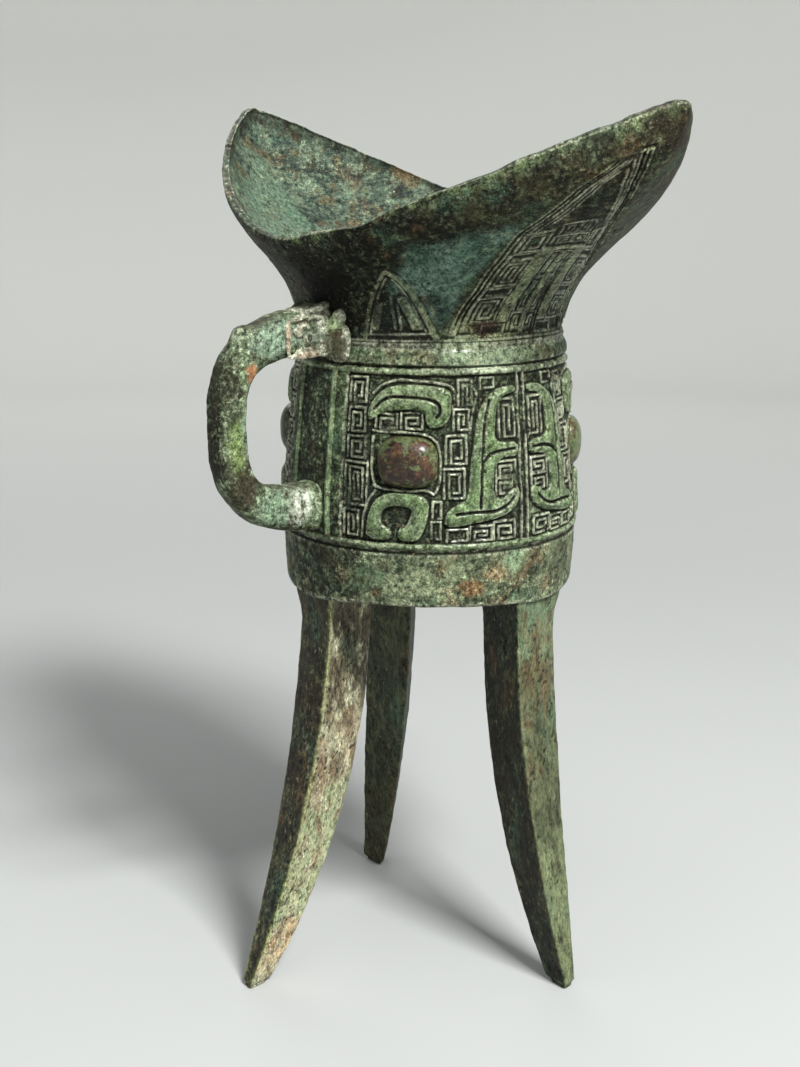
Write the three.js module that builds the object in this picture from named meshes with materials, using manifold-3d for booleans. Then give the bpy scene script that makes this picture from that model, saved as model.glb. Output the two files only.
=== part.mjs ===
// Bronze jiao: a wine vessel on three legs, with a round cup, a mouth that rises into two
// pointed wings, a strap handle under an animal head, and four raised eyes on the cup.
// Millimetres, +Z up. The wings reach along X and the handle stands on the -Y side.

import * as THREE from 'three';
import { mergeVertices } from 'three/addons/utils/BufferGeometryUtils.js';
import Module from 'manifold-3d';

const wasm = await Module();
wasm.setup();

// Clearance kept between neighbouring cast members
const seatGap = 0.3;

// Cup: heights are rises above the foot of its wall
const wallFootHeight = 104;
const footRadius = 36.9;
const bellyRadius = 37.7;
const bellyRise = 21;
const shoulderRadius = 35.6;
const shoulderRise = 47;
const neckRadius = 33.5;
const neckRise = 61.5;
const bottomDepth = 3;
const bottomSquareness = 2;
const cupWall = 2.6;
const cupFloor = 2.6;

// Grooves that frame the relief band and mark the plain band under the neck
const lowerGrooveRise = 13.2;
const upperGrooveRise = 57;
const grooveWidth = 1.4;
const grooveDepth = 0.5;

// Relief on the cup: flat bands on sunk ground. A band is drawn as (across, up), across along
// the drawing radius from the middle of a face and up from the foot of the wall.
const groundLow = 15.2;
const groundHigh = 55.4;
const groundSlope = 0.3;
const groundDepth = 0.45;
const bandProud = 0.5;
const bandRoot = 1.2;
const panelSink = 0.02;
const panelHalfWidth = 11.2;
const noseHalfWidth = 2.4;
const drawingRadius = 37.5;
const brow = [
  [18.2, 45.6], [18.9, 48.8], [21.9, 51.7], [28.5, 52.9], [37.6, 52.2], [39.1, 48.9],
  [38, 44.6], [34.8, 43.3], [33, 45.6], [31.6, 47.3], [25, 47.4], [20.3, 45.6],
];
const jaw = [
  [18.7, 16.6], [18.7, 21], [20.6, 25.6], [25, 27.3], [31, 27.2], [33.4, 24.4],
  [32.9, 19.6], [31.2, 16.4], [26.5, 16.4], [27.6, 19], [29.6, 22.3], [29, 24.3],
  [25, 24.6], [22, 22.6], [22.4, 19.6], [24.5, 18], [24.5, 16.4],
];
const body = [
  [37.6, 20], [38, 22.8], [42.6, 25.3], [43.9, 31], [45, 39.5], [46.5, 47.2], [49.2, 50.4],
  [52.4, 52], [56.6, 52.2], [56.6, 51.1], [52.4, 50.2], [50.3, 45.6], [50, 39.8], [53, 38.9],
  [56.8, 38.9], [56.8, 35.8], [52, 35.6], [49.8, 32], [49.6, 26.4], [52, 25.5], [56, 27.7],
  [56.7, 25.6], [53.6, 22], [47.6, 20.8],
];

// Mouth: rises are above the neck joint
const wingReach = 84.5;
const wingRise = 55.6;
const saddleHalfWidth = 45.2;
const saddleRise = 24.8;
const rimPlanPower = 1.86;
const rimPlanFullness = 0.9;
const rimSweepPower = 1.49;
const wingTipRadius = 2;
const wingStartPull = 24.2;
const wingEndPull = 24.4;
const saddleStartPull = 16.9;
const saddleEndPull = 9;
const rimFlare = 2.2;
const mouthWall = 2.4;
const lipWall = 2.2;
const lipProud = 0.4;
const lipCrown = 0.5;

// Legs: triangular in section, flat outside, with the ridge turned inward
const legFootRadius = 52.6;
const legRootRadius = 34.4;
const legFootRidge = 45.2;
const legRootRidge = 17.4;
const legFootWidth = 4.4;
const legRootWidth = 15.6;
const legFaceBulge = 0.7;
const legEdgeRound = 0.6;
const legBendPower = 1.75;
const legTaperPower = 2.35;
const legs = [
  { name: 'leg_under_handle', azimuth: -94, splay: 3.9 },
  { name: 'leg_right', azimuth: 12.5, splay: -4.5 },
  { name: 'leg_left', azimuth: 159.1, splay: 0.7 },
];

// Handle: a strap bowed out from the cup on the -Y side
const handleReach = 60.55;
const handleTopAboveNeck = 2.9;
const handleBottomRise = 21.6;
const handleSquareness = 3.1;
const handleWidth = 9.6;
const handleThickness = 8.4;
const handleRootThickness = 11.8;
const knobAngle = 49;
const knobSize = 3.3;

// Animal head over the handle's upper end
const headLength = 13.8;
const headWidth = 10.6;
const headHeight = 12.4;
const headSink = 1;
const hornLength = 5;
const hornThickness = 1.5;

// Eyes: rounded bosses, a pair on each side of the handle and of the opposite face
const eyeWidth = 15;
const eyeHeight = 11.5;
const eyeProud = 3.4;
const eyeSink = 1;
const eyeRise = 35.5;
const eyeSpread = 43.4;
const eyeSquareness = 2.7;

// Steps of the curved surfaces
const cupSides = 48;
const mouthSides = 72;
const wallSteps = 12;
const plainSteps = 6;
const bottomSteps = 7;
const mouthSteps = 11;
const legSteps = 14;
const handleSteps = 26;
const sectionSides = 12;

const neckHeight = wallFootHeight + neckRise;
const handleTopHeight = neckHeight + handleTopAboveNeck;
const handleBottomHeight = wallFootHeight + handleBottomRise;

// Colours of the patina on each member
const patina = {
  cup: new THREE.MeshStandardMaterial({ color: 0x5f6a55, roughness: 0.62, metalness: 0.35 }),
  mouth: new THREE.MeshStandardMaterial({ color: 0x6f8579, roughness: 0.6, metalness: 0.35 }),
  leg: new THREE.MeshStandardMaterial({ color: 0x6b6a50, roughness: 0.72, metalness: 0.25 }),
  handle: new THREE.MeshStandardMaterial({ color: 0x7fa08c, roughness: 0.66, metalness: 0.25 }),
  eye: new THREE.MeshStandardMaterial({ color: 0x6e4f3c, roughness: 0.5, metalness: 0.4 }),
};

// Keeps positions only, joins shared corners, drops empty triangles and turns faces outward.
function sealed(source) {
  const bare = new THREE.BufferGeometry();
  bare.setAttribute('position', source.getAttribute('position').clone());
  bare.setIndex(source.getIndex());
  const merged = mergeVertices(bare, 1e-4);
  const places = merged.getAttribute('position');
  const index = merged.getIndex().array;
  const corners = [0, 1, 2].map(() => new THREE.Vector3());
  let kept = [];
  let volume = 0;
  for (let i = 0; i < index.length; i += 3) {
    const face = [index[i], index[i + 1], index[i + 2]];
    if (new Set(face).size === 3) {
      face.forEach((corner, side) => corners[side].fromBufferAttribute(places, corner));
      volume += corners[0].dot(corners[1].clone().cross(corners[2]));
      kept.push(face);
    }
  }
  if (volume < 0) {
    kept = kept.map(([a, b, c]) => [a, c, b]);
  }
  merged.setIndex(kept.flat());
  return merged;
}

function toSolid(geometry) {
  const ready = sealed(geometry);
  return new wasm.Manifold(new wasm.Mesh({
    numProp: 3,
    vertProperties: new Float32Array(ready.getAttribute('position').array),
    triVerts: new Uint32Array(ready.getIndex().array),
  }));
}

function toGeometry(solid) {
  const result = solid.getMesh();
  const geometry = new THREE.BufferGeometry();
  geometry.setAttribute('position', new THREE.BufferAttribute(result.vertProperties, 3));
  geometry.setIndex(new THREE.BufferAttribute(result.triVerts, 1));
  return geometry;
}

// Skins a row of rings. Looped rings close on themselves, others get a cap at each end.
function loft(rings, looped) {
  const sides = rings[0].length;
  const points = rings.flat();
  const index = [];
  const bands = looped ? rings.length : rings.length - 1;
  for (let band = 0; band < bands; band += 1) {
    const lower = band * sides;
    const upper = ((band + 1) % rings.length) * sides;
    for (let i = 0; i < sides; i += 1) {
      const next = (i + 1) % sides;
      index.push(lower + i, lower + next, upper + next);
      index.push(lower + i, upper + next, upper + i);
    }
  }
  if (!looped) {
    [0, rings.length - 1].forEach((which) => {
      const middle = rings[which].reduce((sum, p) => sum.add(p), new THREE.Vector3());
      points.push(middle.divideScalar(sides));
      for (let i = 0; i < sides; i += 1) {
        const pair = [which * sides + i, which * sides + ((i + 1) % sides)];
        index.push(points.length - 1, ...(which === 0 ? pair.reverse() : pair));
      }
    });
  }
  const geometry = new THREE.BufferGeometry();
  geometry.setFromPoints(points);
  geometry.setIndex(index);
  return geometry;
}

function signedPower(value, power) {
  return Math.sign(value) * Math.abs(value) ** power;
}

// Cup

const wallCurve = new THREE.SplineCurve([
  new THREE.Vector2(footRadius, 0),
  new THREE.Vector2(bellyRadius, bellyRise),
  new THREE.Vector2(shoulderRadius, shoulderRise),
  new THREE.Vector2(neckRadius, neckRise),
]).getPoints(90);

function wallRadius(rise) {
  const last = wallCurve.length - 1;
  const above = wallCurve.findIndex((p, i) => i > 0 && (p.y >= rise || i === last));
  const high = wallCurve[above];
  const low = wallCurve[above - 1];
  return low.x + (high.x - low.x) * (rise - low.y) / (high.y - low.y);
}

// Half outline of the rounded bottom, from the axis out to the foot of the wall
function bottomOutline(radius, depth) {
  const outline = [];
  for (let step = 0; step < bottomSteps; step += 1) {
    const angle = (step / bottomSteps) * (Math.PI / 2);
    const share = Math.sin(angle) ** (2 / bottomSquareness);
    const drop = Math.cos(angle) ** (2 / bottomSquareness);
    outline.push(new THREE.Vector2(radius * share, -depth * drop));
  }
  return outline;
}

// Half outline of the wall, moved out by grow. Where it is carved it has the two framing
// grooves and, between them, the sunk ground of the relief.
function wallOutline(grow, carved) {
  const outline = [];
  const steps = carved ? wallSteps : plainSteps;
  for (let step = 0; step <= steps; step += 1) {
    outline.push((step / steps) * neckRise);
  }
  const grooves = carved ? [lowerGrooveRise, upperGrooveRise] : [];
  const sunkLow = groundLow + groundSlope;
  const sunkHigh = groundHigh - groundSlope;
  const edges = carved ? [groundLow, sunkLow, sunkHigh, groundHigh] : [];
  const near = (rise) => [...grooves, ...edges].some((g) => Math.abs(rise - g) <= grooveWidth);
  const clear = outline.filter((rise) => !near(rise));
  grooves.forEach((g) => clear.push(g - grooveWidth / 2, g, g + grooveWidth / 2));
  clear.push(...edges);
  return clear.sort((a, b) => a - b).map((rise) => {
    const sunk = carved && rise >= sunkLow && rise <= sunkHigh ? groundDepth : 0;
    const cut = grooves.includes(rise) ? grooveDepth : sunk;
    return new THREE.Vector2(wallRadius(rise) + grow - cut, rise);
  });
}

function revolve(outline) {
  const geometry = new THREE.LatheGeometry(outline, cupSides);
  geometry.rotateX(Math.PI / 2);
  geometry.translate(0, 0, wallFootHeight);
  return sealed(geometry);
}

// The layer of the wall that bands are cut from, as a ring that stands proud by grow
function bandLayer(grow) {
  const rises = [];
  for (let step = 0; step <= plainSteps; step += 1) {
    rises.push(groundLow + (step / plainSteps) * (groundHigh - groundLow));
  }
  const outer = rises.map((rise) => new THREE.Vector2(wallRadius(rise) + grow, rise));
  const inner = rises.map((rise) => new THREE.Vector2(wallRadius(rise) - bandRoot, rise));
  return toSolid(revolve([...outer, ...inner.reverse(), outer[0].clone()]));
}

// A straight bar with the drawn outline, pointing outward from the axis through the wall.
// Turn is 1 or -1 and says to which side of the face's middle the drawing runs.
function bandBar(drawing, faceAzimuth, turn) {
  const across = drawing.map((point) => point[0]);
  const middle = (Math.min(...across) + Math.max(...across)) / 2;
  const outline = drawing.map(([along, up]) => new THREE.Vector2(
    turn * drawingRadius * Math.sin((along - middle) / drawingRadius),
    up,
  ));
  const barStart = footRadius - 4 * cupWall;
  const bar = new THREE.ExtrudeGeometry(new THREE.Shape(outline), {
    depth: bellyRadius + cupWall - barStart,
    bevelEnabled: false,
  });
  const [tangent, up, radial] = [[0, 1, 0], [0, 0, 1], [1, 0, 0]].map((v) => new THREE.Vector3(...v));
  bar.applyMatrix4(new THREE.Matrix4().makeBasis(tangent, up, radial));
  bar.translate(barStart, 0, wallFootHeight);
  bar.rotateZ(THREE.MathUtils.degToRad(faceAzimuth) + (turn * middle) / drawingRadius);
  return toSolid(bar);
}

function rectangle(left, low, right, high) {
  return [[left, low], [right, low], [right, high], [left, high]];
}

// Every band of the relief, as one solid that stands in the wall
function makeBands() {
  const proudBars = [];
  const flushBars = [];
  const eyeMiddle = THREE.MathUtils.degToRad(eyeSpread) * drawingRadius;
  const eyeBed = rectangle(
    eyeMiddle - eyeWidth * 0.4,
    eyeRise - eyeHeight * 0.4,
    eyeMiddle + eyeWidth * 0.4,
    eyeRise + eyeHeight * 0.4,
  );
  [-90, 90].forEach((face) => [-1, 1].forEach((turn) => {
    [brow, jaw, body].forEach((drawing) => proudBars.push(bandBar(drawing, face, turn)));
    flushBars.push(bandBar(eyeBed, face, turn));
  }));
  const nose = rectangle(-noseHalfWidth, groundLow + 2, noseHalfWidth, groundHigh - 2);
  const panel = rectangle(-panelHalfWidth, groundLow, panelHalfWidth, groundHigh);
  proudBars.push(bandBar(nose, 90, 1));
  flushBars.push(bandBar(panel, -90, 1));
  const join = (bars) => bars.reduce((sum, bar) => sum.add(bar));
  const proud = join(proudBars).intersect(bandLayer(bandProud));
  return proud.add(join(flushBars).intersect(bandLayer(-panelSink)));
}

function makeCup() {
  const outside = [...bottomOutline(footRadius, bottomDepth), ...wallOutline(0, true)];
  const inside = [
    ...bottomOutline(footRadius - cupWall, bottomDepth - cupFloor),
    ...wallOutline(-cupWall, false),
  ];
  return toGeometry(toSolid(revolve([...outside, ...inside.reverse()])).add(makeBands()));
}

// The cup's filled outside, grown by the seat gap, that trims whatever stands against it
function makeCupSeat() {
  const outside = [
    ...bottomOutline(footRadius + seatGap, bottomDepth + seatGap),
    ...wallOutline(seatGap, false),
  ];
  return toSolid(revolve([...outside, new THREE.Vector2(0, neckRise)]));
}

// Mouth: each generator leaves the neck upright, flares, and stands up again at the rim

function mouthPoint(angle, t, inset, lift) {
  const wing = Math.abs(Math.cos(angle));
  const blend = wing ** 2;
  const leaf = (saddleHalfWidth - inset) * (1 - wing ** rimPlanPower) ** rimPlanFullness;
  const tip = Math.sqrt(wingTipRadius * wingReach) * Math.abs(Math.sin(angle)) * wing ** 2;
  const rim = new THREE.Vector3(
    (wingReach - inset * 1.5) * Math.cos(angle),
    wing > 1 - 1e-9 ? 0 : Math.sign(Math.sin(angle)) * Math.hypot(leaf, tip),
    saddleRise + (wingRise - saddleRise) * wing ** rimSweepPower,
  );
  const neck = new THREE.Vector3(Math.cos(angle), Math.sin(angle), 0);
  neck.multiplyScalar(neckRadius - inset);
  const outward = new THREE.Vector3(rim.x - neck.x, rim.y - neck.y, 0).normalize();
  const startPull = THREE.MathUtils.lerp(saddleStartPull, wingStartPull, blend);
  const endPull = THREE.MathUtils.lerp(saddleEndPull, wingEndPull, blend);
  const generator = new THREE.CubicBezierCurve3(
    neck,
    neck.clone().setZ(startPull),
    rim.clone().addScaledVector(outward, -rimFlare).setZ(rim.z - endPull),
    rim,
  );
  const point = generator.getPoint(t);
  point.z += neckHeight + seatGap + lift;
  return point;
}

function mouthRing(t, inset, lift) {
  const ring = [];
  for (let side = 0; side < mouthSides; side += 1) {
    ring.push(mouthPoint((side / mouthSides) * 2 * Math.PI, t, inset, lift));
  }
  return ring;
}

function makeMouth() {
  const rings = [];
  for (let step = 0; step <= mouthSteps; step += 1) {
    const t = step / mouthSteps;
    rings.push(mouthRing(t, -lipProud * THREE.MathUtils.smoothstep(t, 0.8, 0.92), 0));
  }
  rings.push(mouthRing(1, lipWall * 0.25, lipCrown));
  rings.push(mouthRing(1, lipWall * 0.65, lipCrown));
  for (let step = mouthSteps; step >= 0; step -= 1) {
    const t = step / mouthSteps;
    const lip = THREE.MathUtils.smoothstep(t, 0.85, 1);
    rings.push(mouthRing(t, THREE.MathUtils.lerp(mouthWall, lipWall, lip), 0));
  }
  return loft(rings, true);
}

// Legs

function legSection(leg, height) {
  const drop = 1 - height / wallFootHeight;
  const lean = leg.splay * drop ** 2;
  const bend = drop ** legBendPower;
  const taper = drop ** legTaperPower;
  const face = THREE.MathUtils.lerp(legRootRadius, legFootRadius, bend) + lean;
  const ridge = THREE.MathUtils.lerp(legRootRidge, legFootRidge, taper) + lean;
  const half = THREE.MathUtils.lerp(legRootWidth, legFootWidth, taper) / 2;
  const turn = THREE.MathUtils.degToRad(leg.azimuth);
  const section = [
    [face - legEdgeRound, -half],
    [face, legEdgeRound - half],
    [face + legFaceBulge * (1 - drop), 0],
    [face, half - legEdgeRound],
    [face - legEdgeRound, half],
    [ridge, legEdgeRound],
    [ridge, -legEdgeRound],
  ];
  return section.map(([out, across]) => new THREE.Vector3(
    out * Math.cos(turn) - across * Math.sin(turn),
    out * Math.sin(turn) + across * Math.cos(turn),
    height,
  ));
}

function makeLeg(leg, cupSeat) {
  const rings = [];
  for (let step = 0; step <= legSteps; step += 1) {
    rings.push(legSection(leg, (step / legSteps) * wallFootHeight));
  }
  return toGeometry(toSolid(loft(rings, false)).subtract(cupSeat));
}

// Handle

function handlePoint(angle) {
  const root = neckRadius;
  const out = root + (handleReach - root) * Math.cos(angle) ** (2 / handleSquareness);
  const middle = (handleTopHeight + handleBottomHeight) / 2;
  const halfHeight = (handleTopHeight - handleBottomHeight) / 2;
  const up = halfHeight * signedPower(Math.sin(angle), 2 / handleSquareness);
  return new THREE.Vector3(0, -out, middle + up);
}

// The strap's direction across its thickness, away from the cup
function handleOutward(angle) {
  const nudge = 1e-3;
  const near = Math.min(Math.PI / 2, angle + nudge);
  const far = Math.max(-Math.PI / 2, angle - nudge);
  const along = handlePoint(far).sub(handlePoint(near)).normalize();
  return new THREE.Vector3().crossVectors(along, new THREE.Vector3(1, 0, 0));
}

function handleThicknessAt(angle) {
  const swell = Math.abs(Math.sin(angle)) ** 2.5;
  return THREE.MathUtils.lerp(handleThickness, handleRootThickness, swell);
}

function handleSection(angle) {
  const centre = handlePoint(angle);
  const across = new THREE.Vector3(1, 0, 0);
  const outward = handleOutward(angle);
  const thickness = handleThicknessAt(angle);
  const ring = [];
  for (let side = 0; side < sectionSides; side += 1) {
    const turn = (side / sectionSides) * 2 * Math.PI;
    const point = centre.clone();
    point.addScaledVector(across, signedPower(Math.cos(turn), 0.65) * handleWidth / 2);
    point.addScaledVector(outward, signedPower(Math.sin(turn), 0.65) * thickness / 2);
    ring.push(point);
  }
  return ring;
}

// The angle at which the strap comes out of the head, a quarter of the head's length inside it
function handleStart() {
  const out = headInside() + headLength * 0.75;
  const share = (out - neckRadius) / (handleReach - neckRadius);
  return Math.acos(share ** (handleSquareness / 2));
}

function makeHandle(cupSeat, headSeat) {
  const rings = [];
  for (let step = 0; step <= handleSteps; step += 1) {
    rings.push(handleSection(THREE.MathUtils.lerp(handleStart(), -Math.PI / 2, step / handleSteps)));
  }
  const knobTurn = THREE.MathUtils.degToRad(knobAngle);
  const knobPlace = handlePoint(knobTurn);
  knobPlace.addScaledVector(handleOutward(knobTurn), handleThicknessAt(knobTurn) / 2);
  const knob = new THREE.SphereGeometry(knobSize, 12, 8);
  knob.translate(...knobPlace.toArray());
  const strap = toSolid(loft(rings, false)).add(toSolid(knob));
  return toGeometry(strap.subtract(cupSeat).subtract(headSeat));
}

// Animal head: a squared skull over a narrower muzzle, with two curled-back horns

// Where the head's hidden end lies, sunk a little behind the face of the neck
function headInside() {
  return neckRadius - headSink;
}

function headSolid(grow) {
  const middle = headInside() + headLength / 2;
  const skull = roundedBlock(headWidth / 2 + grow, headLength / 2 + grow, headHeight / 2 + grow, 3);
  skull.translate(0, -middle, handleTopHeight);
  return toSolid(skull);
}

function makeHead(cupSeat, neckSeat) {
  let head = headSolid(0);
  [-1, 1].forEach((side) => {
    const horn = roundedBlock(hornThickness, hornLength, hornThickness, 2);
    horn.rotateX(-0.35);
    const rise = handleTopHeight + headHeight / 2 - hornThickness / 2;
    horn.translate(side * (headWidth / 2 - hornThickness / 2), -headInside() - headLength / 2, rise);
    head = head.add(toSolid(horn));
  });
  return toGeometry(head.subtract(cupSeat).subtract(neckSeat));
}

// Superellipsoid used for the eyes and the animal head
function roundedBlock(halfX, halfY, halfZ, squareness) {
  const geometry = new THREE.SphereGeometry(1, 20, 12);
  const places = geometry.getAttribute('position');
  const power = 2 / squareness;
  for (let i = 0; i < places.count; i += 1) {
    const x = signedPower(places.getX(i), power);
    const y = signedPower(places.getY(i), power);
    const z = signedPower(places.getZ(i), power);
    const reach = (Math.abs(x) ** squareness + Math.abs(y) ** squareness
      + Math.abs(z) ** squareness) ** (1 / squareness);
    places.setXYZ(i, halfX * x / reach, halfY * y / reach, halfZ * z / reach);
  }
  return geometry;
}

// Eyes

function makeEye(azimuth, cupSeat) {
  const seatRadius = wallRadius(eyeRise);
  const eye = roundedBlock(eyeProud + eyeSink, eyeWidth / 2, eyeHeight / 2, eyeSquareness);
  eye.translate(seatRadius - eyeSink, 0, wallFootHeight + eyeRise);
  eye.rotateZ(THREE.MathUtils.degToRad(azimuth));
  return toGeometry(toSolid(eye).subtract(cupSeat));
}

// The mouth's foot, grown by the seat gap, that trims the head where it reaches past the cup
function makeNeckSeat() {
  const rings = [];
  for (let step = 0; step <= mouthSteps / 2; step += 1) {
    rings.push(mouthRing(step / mouthSteps, -seatGap, 0));
  }
  rings[0] = rings[0].map((p) => p.clone().setZ(neckHeight - seatGap));
  return toSolid(loft(rings, false));
}

// Assembly

const jiao = new THREE.Group();

function place(name, geometry, material) {
  const mesh = new THREE.Mesh(sealed(geometry), material);
  mesh.name = name;
  jiao.add(mesh);
}

const cupSeat = makeCupSeat();
const neckSeat = makeNeckSeat();
place('cup', makeCup(), patina.cup.clone());
place('winged_mouth', makeMouth(), patina.mouth.clone());
legs.forEach((leg) => place(leg.name, makeLeg(leg, cupSeat), patina.leg.clone()));
place('handle_strap', makeHandle(cupSeat, headSolid(seatGap)), patina.handle.clone());
place('handle_animal_head', makeHead(cupSeat, neckSeat), patina.handle.clone());
[['handle_side', -90], ['far_side', 90]].forEach(([face, middle]) => {
  [['left', -1], ['right', 1]].forEach(([hand, turn]) => {
    const eye = makeEye(middle + turn * eyeSpread, cupSeat);
    place(`eye_${face}_${hand}`, eye, patina.eye.clone());
  });
});

// The origin is the middle of the footprint of the whole vessel, on the ground
const extent = new THREE.Box3().setFromObject(jiao);
const centre = extent.getCenter(new THREE.Vector3());
jiao.position.set(-centre.x, -centre.y, -extent.min.z);
jiao.updateMatrixWorld(true);

export default jiao;
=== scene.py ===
# %% [markdown]
# A bronze jiao, made in Blender round its CAD model.
# The vessel is one casting. It has a round cup, a mouth that rises into two wings, three legs and a
# strap handle under an animal head. A frame file holds the true sizes of those members, so this script
# only adds what a frame can't hold: the cast relief, the rough skin of old bronze and its colours.
# Positions are in metres, and measured sizes are written in millimetres and turned into metres where a
# mesh is made.

# %% Load the frame
import math
import bpy
import numpy as np
from mathutils import Matrix, Vector


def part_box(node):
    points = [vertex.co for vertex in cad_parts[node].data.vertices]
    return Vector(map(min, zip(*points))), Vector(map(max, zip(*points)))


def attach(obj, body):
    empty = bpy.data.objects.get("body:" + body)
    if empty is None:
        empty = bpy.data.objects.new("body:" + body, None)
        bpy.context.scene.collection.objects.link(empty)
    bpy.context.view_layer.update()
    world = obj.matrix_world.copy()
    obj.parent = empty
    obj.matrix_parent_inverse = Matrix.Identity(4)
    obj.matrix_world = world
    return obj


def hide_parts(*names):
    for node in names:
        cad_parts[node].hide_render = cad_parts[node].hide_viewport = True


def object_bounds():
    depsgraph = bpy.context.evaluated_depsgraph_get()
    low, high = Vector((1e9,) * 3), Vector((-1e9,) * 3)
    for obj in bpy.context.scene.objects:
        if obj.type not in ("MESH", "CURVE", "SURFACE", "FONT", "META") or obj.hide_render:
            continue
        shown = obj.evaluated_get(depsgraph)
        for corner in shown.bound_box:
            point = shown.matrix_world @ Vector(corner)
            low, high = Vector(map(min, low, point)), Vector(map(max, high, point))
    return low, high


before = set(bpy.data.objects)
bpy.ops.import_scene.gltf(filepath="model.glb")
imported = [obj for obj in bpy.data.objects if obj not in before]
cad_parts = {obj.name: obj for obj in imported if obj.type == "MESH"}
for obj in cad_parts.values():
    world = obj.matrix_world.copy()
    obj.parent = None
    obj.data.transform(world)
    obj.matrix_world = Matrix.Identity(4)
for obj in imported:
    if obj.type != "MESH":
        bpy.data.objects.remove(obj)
cad_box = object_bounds()
MM = 0.001
print("frame nodes:", sorted(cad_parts))

# %% [markdown]
# Every round member is built about the cup's axis, so the axis comes first. The mouth is the same
# to both sides of it, so the middle of the mouth's box gives it. The top of the cup's box is the
# neck, and the foot of the wall lies a measured height below.

# %% Find the cup's axis
WALL_HEIGHT = 61.5
mouth_low, mouth_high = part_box("winged_mouth")
axis = Vector(((mouth_low.x + mouth_high.x) / 2, (mouth_low.y + mouth_high.y) / 2, 0.0))
axis_mm = np.array(axis) / MM
neck_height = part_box("cup")[1].z / MM
wall_foot = neck_height - WALL_HEIGHT
print("axis", [round(v, 3) for v in axis_mm], "neck at", round(neck_height, 2), "mm")

# %% [markdown]
# The camera comes next, because every later choice is judged through it. It stands to the
# right of the handle, nearly as high as the tips of the wings, and close enough for some
# perspective. Its direction is written as a turn about the vessel, a small aim to the side, a
# tilt and a roll.

# %% Place the camera
CAMERA_TURN = 51.72
CAMERA_AIM = 1.02
CAMERA_TILT = 13.27
CAMERA_ROLL = 0.22
CAMERA_DISTANCE = 423.6
CAMERA_HEIGHT = 213.1
CAMERA_LENS = 56.4

turn = math.radians(CAMERA_TURN)
heading = math.radians(CAMERA_TURN + CAMERA_AIM)
tilt = math.radians(CAMERA_TILT)
roll = math.radians(CAMERA_ROLL)
level_ahead = Vector((-math.sin(heading), math.cos(heading), 0.0))
level_right = Vector((math.cos(heading), math.sin(heading), 0.0))
ahead = level_ahead * math.cos(tilt) + Vector((0, 0, -math.sin(tilt)))
up = level_right.cross(ahead)
right = level_right * math.cos(roll) + up * math.sin(roll)
up = up * math.cos(roll) - level_right * math.sin(roll)
stand = Vector((math.sin(turn), -math.cos(turn), 0.0)) * CAMERA_DISTANCE * MM
stand.z = CAMERA_HEIGHT * MM

camera = bpy.data.objects.new("camera", bpy.data.cameras.new("camera"))
bpy.context.scene.collection.objects.link(camera)
camera.data.lens = CAMERA_LENS
camera.data.sensor_width = 36.0
camera.data.clip_start = 0.01
pose = Matrix((right, up, -ahead)).transposed().to_4x4()
pose.translation = axis + stand
camera.matrix_world = pose
bpy.context.scene.camera = camera
print("camera at", [round(v, 4) for v in pose.translation])

# %% [markdown]
# A mesh here is a block of points: rows of points, joined by quads. Each point also needs the
# direction that leads straight out of the plain surface, and chart coordinates for the colours.
# Those ride on the mesh as attributes, so the node trees further down can read them.

# %% Turn blocks of points into meshes
def smoothstep(value, low, high):
    share = np.clip((value - low) / (high - low), 0.0, 1.0)
    return share * share * (3.0 - 2.0 * share)


def catmull(points, steps):
    """A smooth curve through the points, doubled at both ends."""
    points = np.asarray(points, float)
    padded = np.vstack([points[:1], points, points[-1:]])
    curve = []
    for k in range(len(points) - 1):
        a, b, c, d = padded[k:k + 4]
        for t in np.linspace(0.0, 1.0, steps, endpoint=False):
            curve.append(0.5 * (
                2 * b + (c - a) * t + (2 * a - 5 * b + 4 * c - d) * t * t
                + (3 * b - a - 3 * c + d) * t ** 3
            ))
    return np.array(curve + [points[-1]])


def lerp(low, high, share):
    return low + (high - low) * share


def unit(vectors):
    return vectors / np.maximum(np.linalg.norm(vectors, axis=-1, keepdims=True), 1e-9)


def full_circle(count):
    return np.linspace(0, 2 * math.pi, count, endpoint=False)


def walked_length(curve):
    """How far along a line of points each of them lies."""
    return np.append(0, np.cumsum(np.linalg.norm(np.diff(curve, axis=0), axis=1)))


def evenly_spaced(curve, count, endpoint=True):
    """Points at even steps along a flat curve, how far along they lie, and how far its own do."""
    walked = walked_length(curve)
    at = np.linspace(0, walked[-1], count, endpoint=endpoint)
    return np.stack([np.interp(at, walked, curve[:, k]) for k in (0, 1)], axis=-1), at, walked


def swung(x, y, angle):
    """A pair of coordinates after a turn by an angle in radians."""
    return x * math.cos(angle) - y * math.sin(angle), x * math.sin(angle) + y * math.cos(angle)


def block_normals(block, wrap_sides=True):
    """The unit normals of a block of points, from its neighbours along both ways."""
    def slope(points, way, wrap):
        if wrap:
            return np.roll(points, -1, way) - np.roll(points, 1, way)
        return np.gradient(points, axis=way)
    return unit(np.cross(slope(block, 1, wrap_sides), slope(block, 0, False)))


def quads(rows, sides, loop_rows, loop_sides, first=0):
    """Corner numbers of the quads between the rows of a block that starts at point first."""
    low = np.arange(rows if loop_rows else rows - 1)[:, None] * sides
    high = (low + sides) % (rows * sides)
    left = np.arange(sides if loop_sides else sides - 1)[None, :]
    after = (left + 1) % sides
    corners = np.stack([low + left, low + after, high + after, high + left], axis=2)
    return (corners.reshape(-1, 4) + first).tolist()


def add_object(name, data):
    made = bpy.data.objects.new(name, data)
    bpy.context.scene.collection.objects.link(made)
    return made


def read_field(items, field, width=3, kind=np.float64):
    """A row of numbers for each vertex, edge or triangle of a mesh."""
    values = np.empty(len(items) * width, dtype=kind)
    items.foreach_get(field, values)
    return values.reshape(-1, width)


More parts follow.
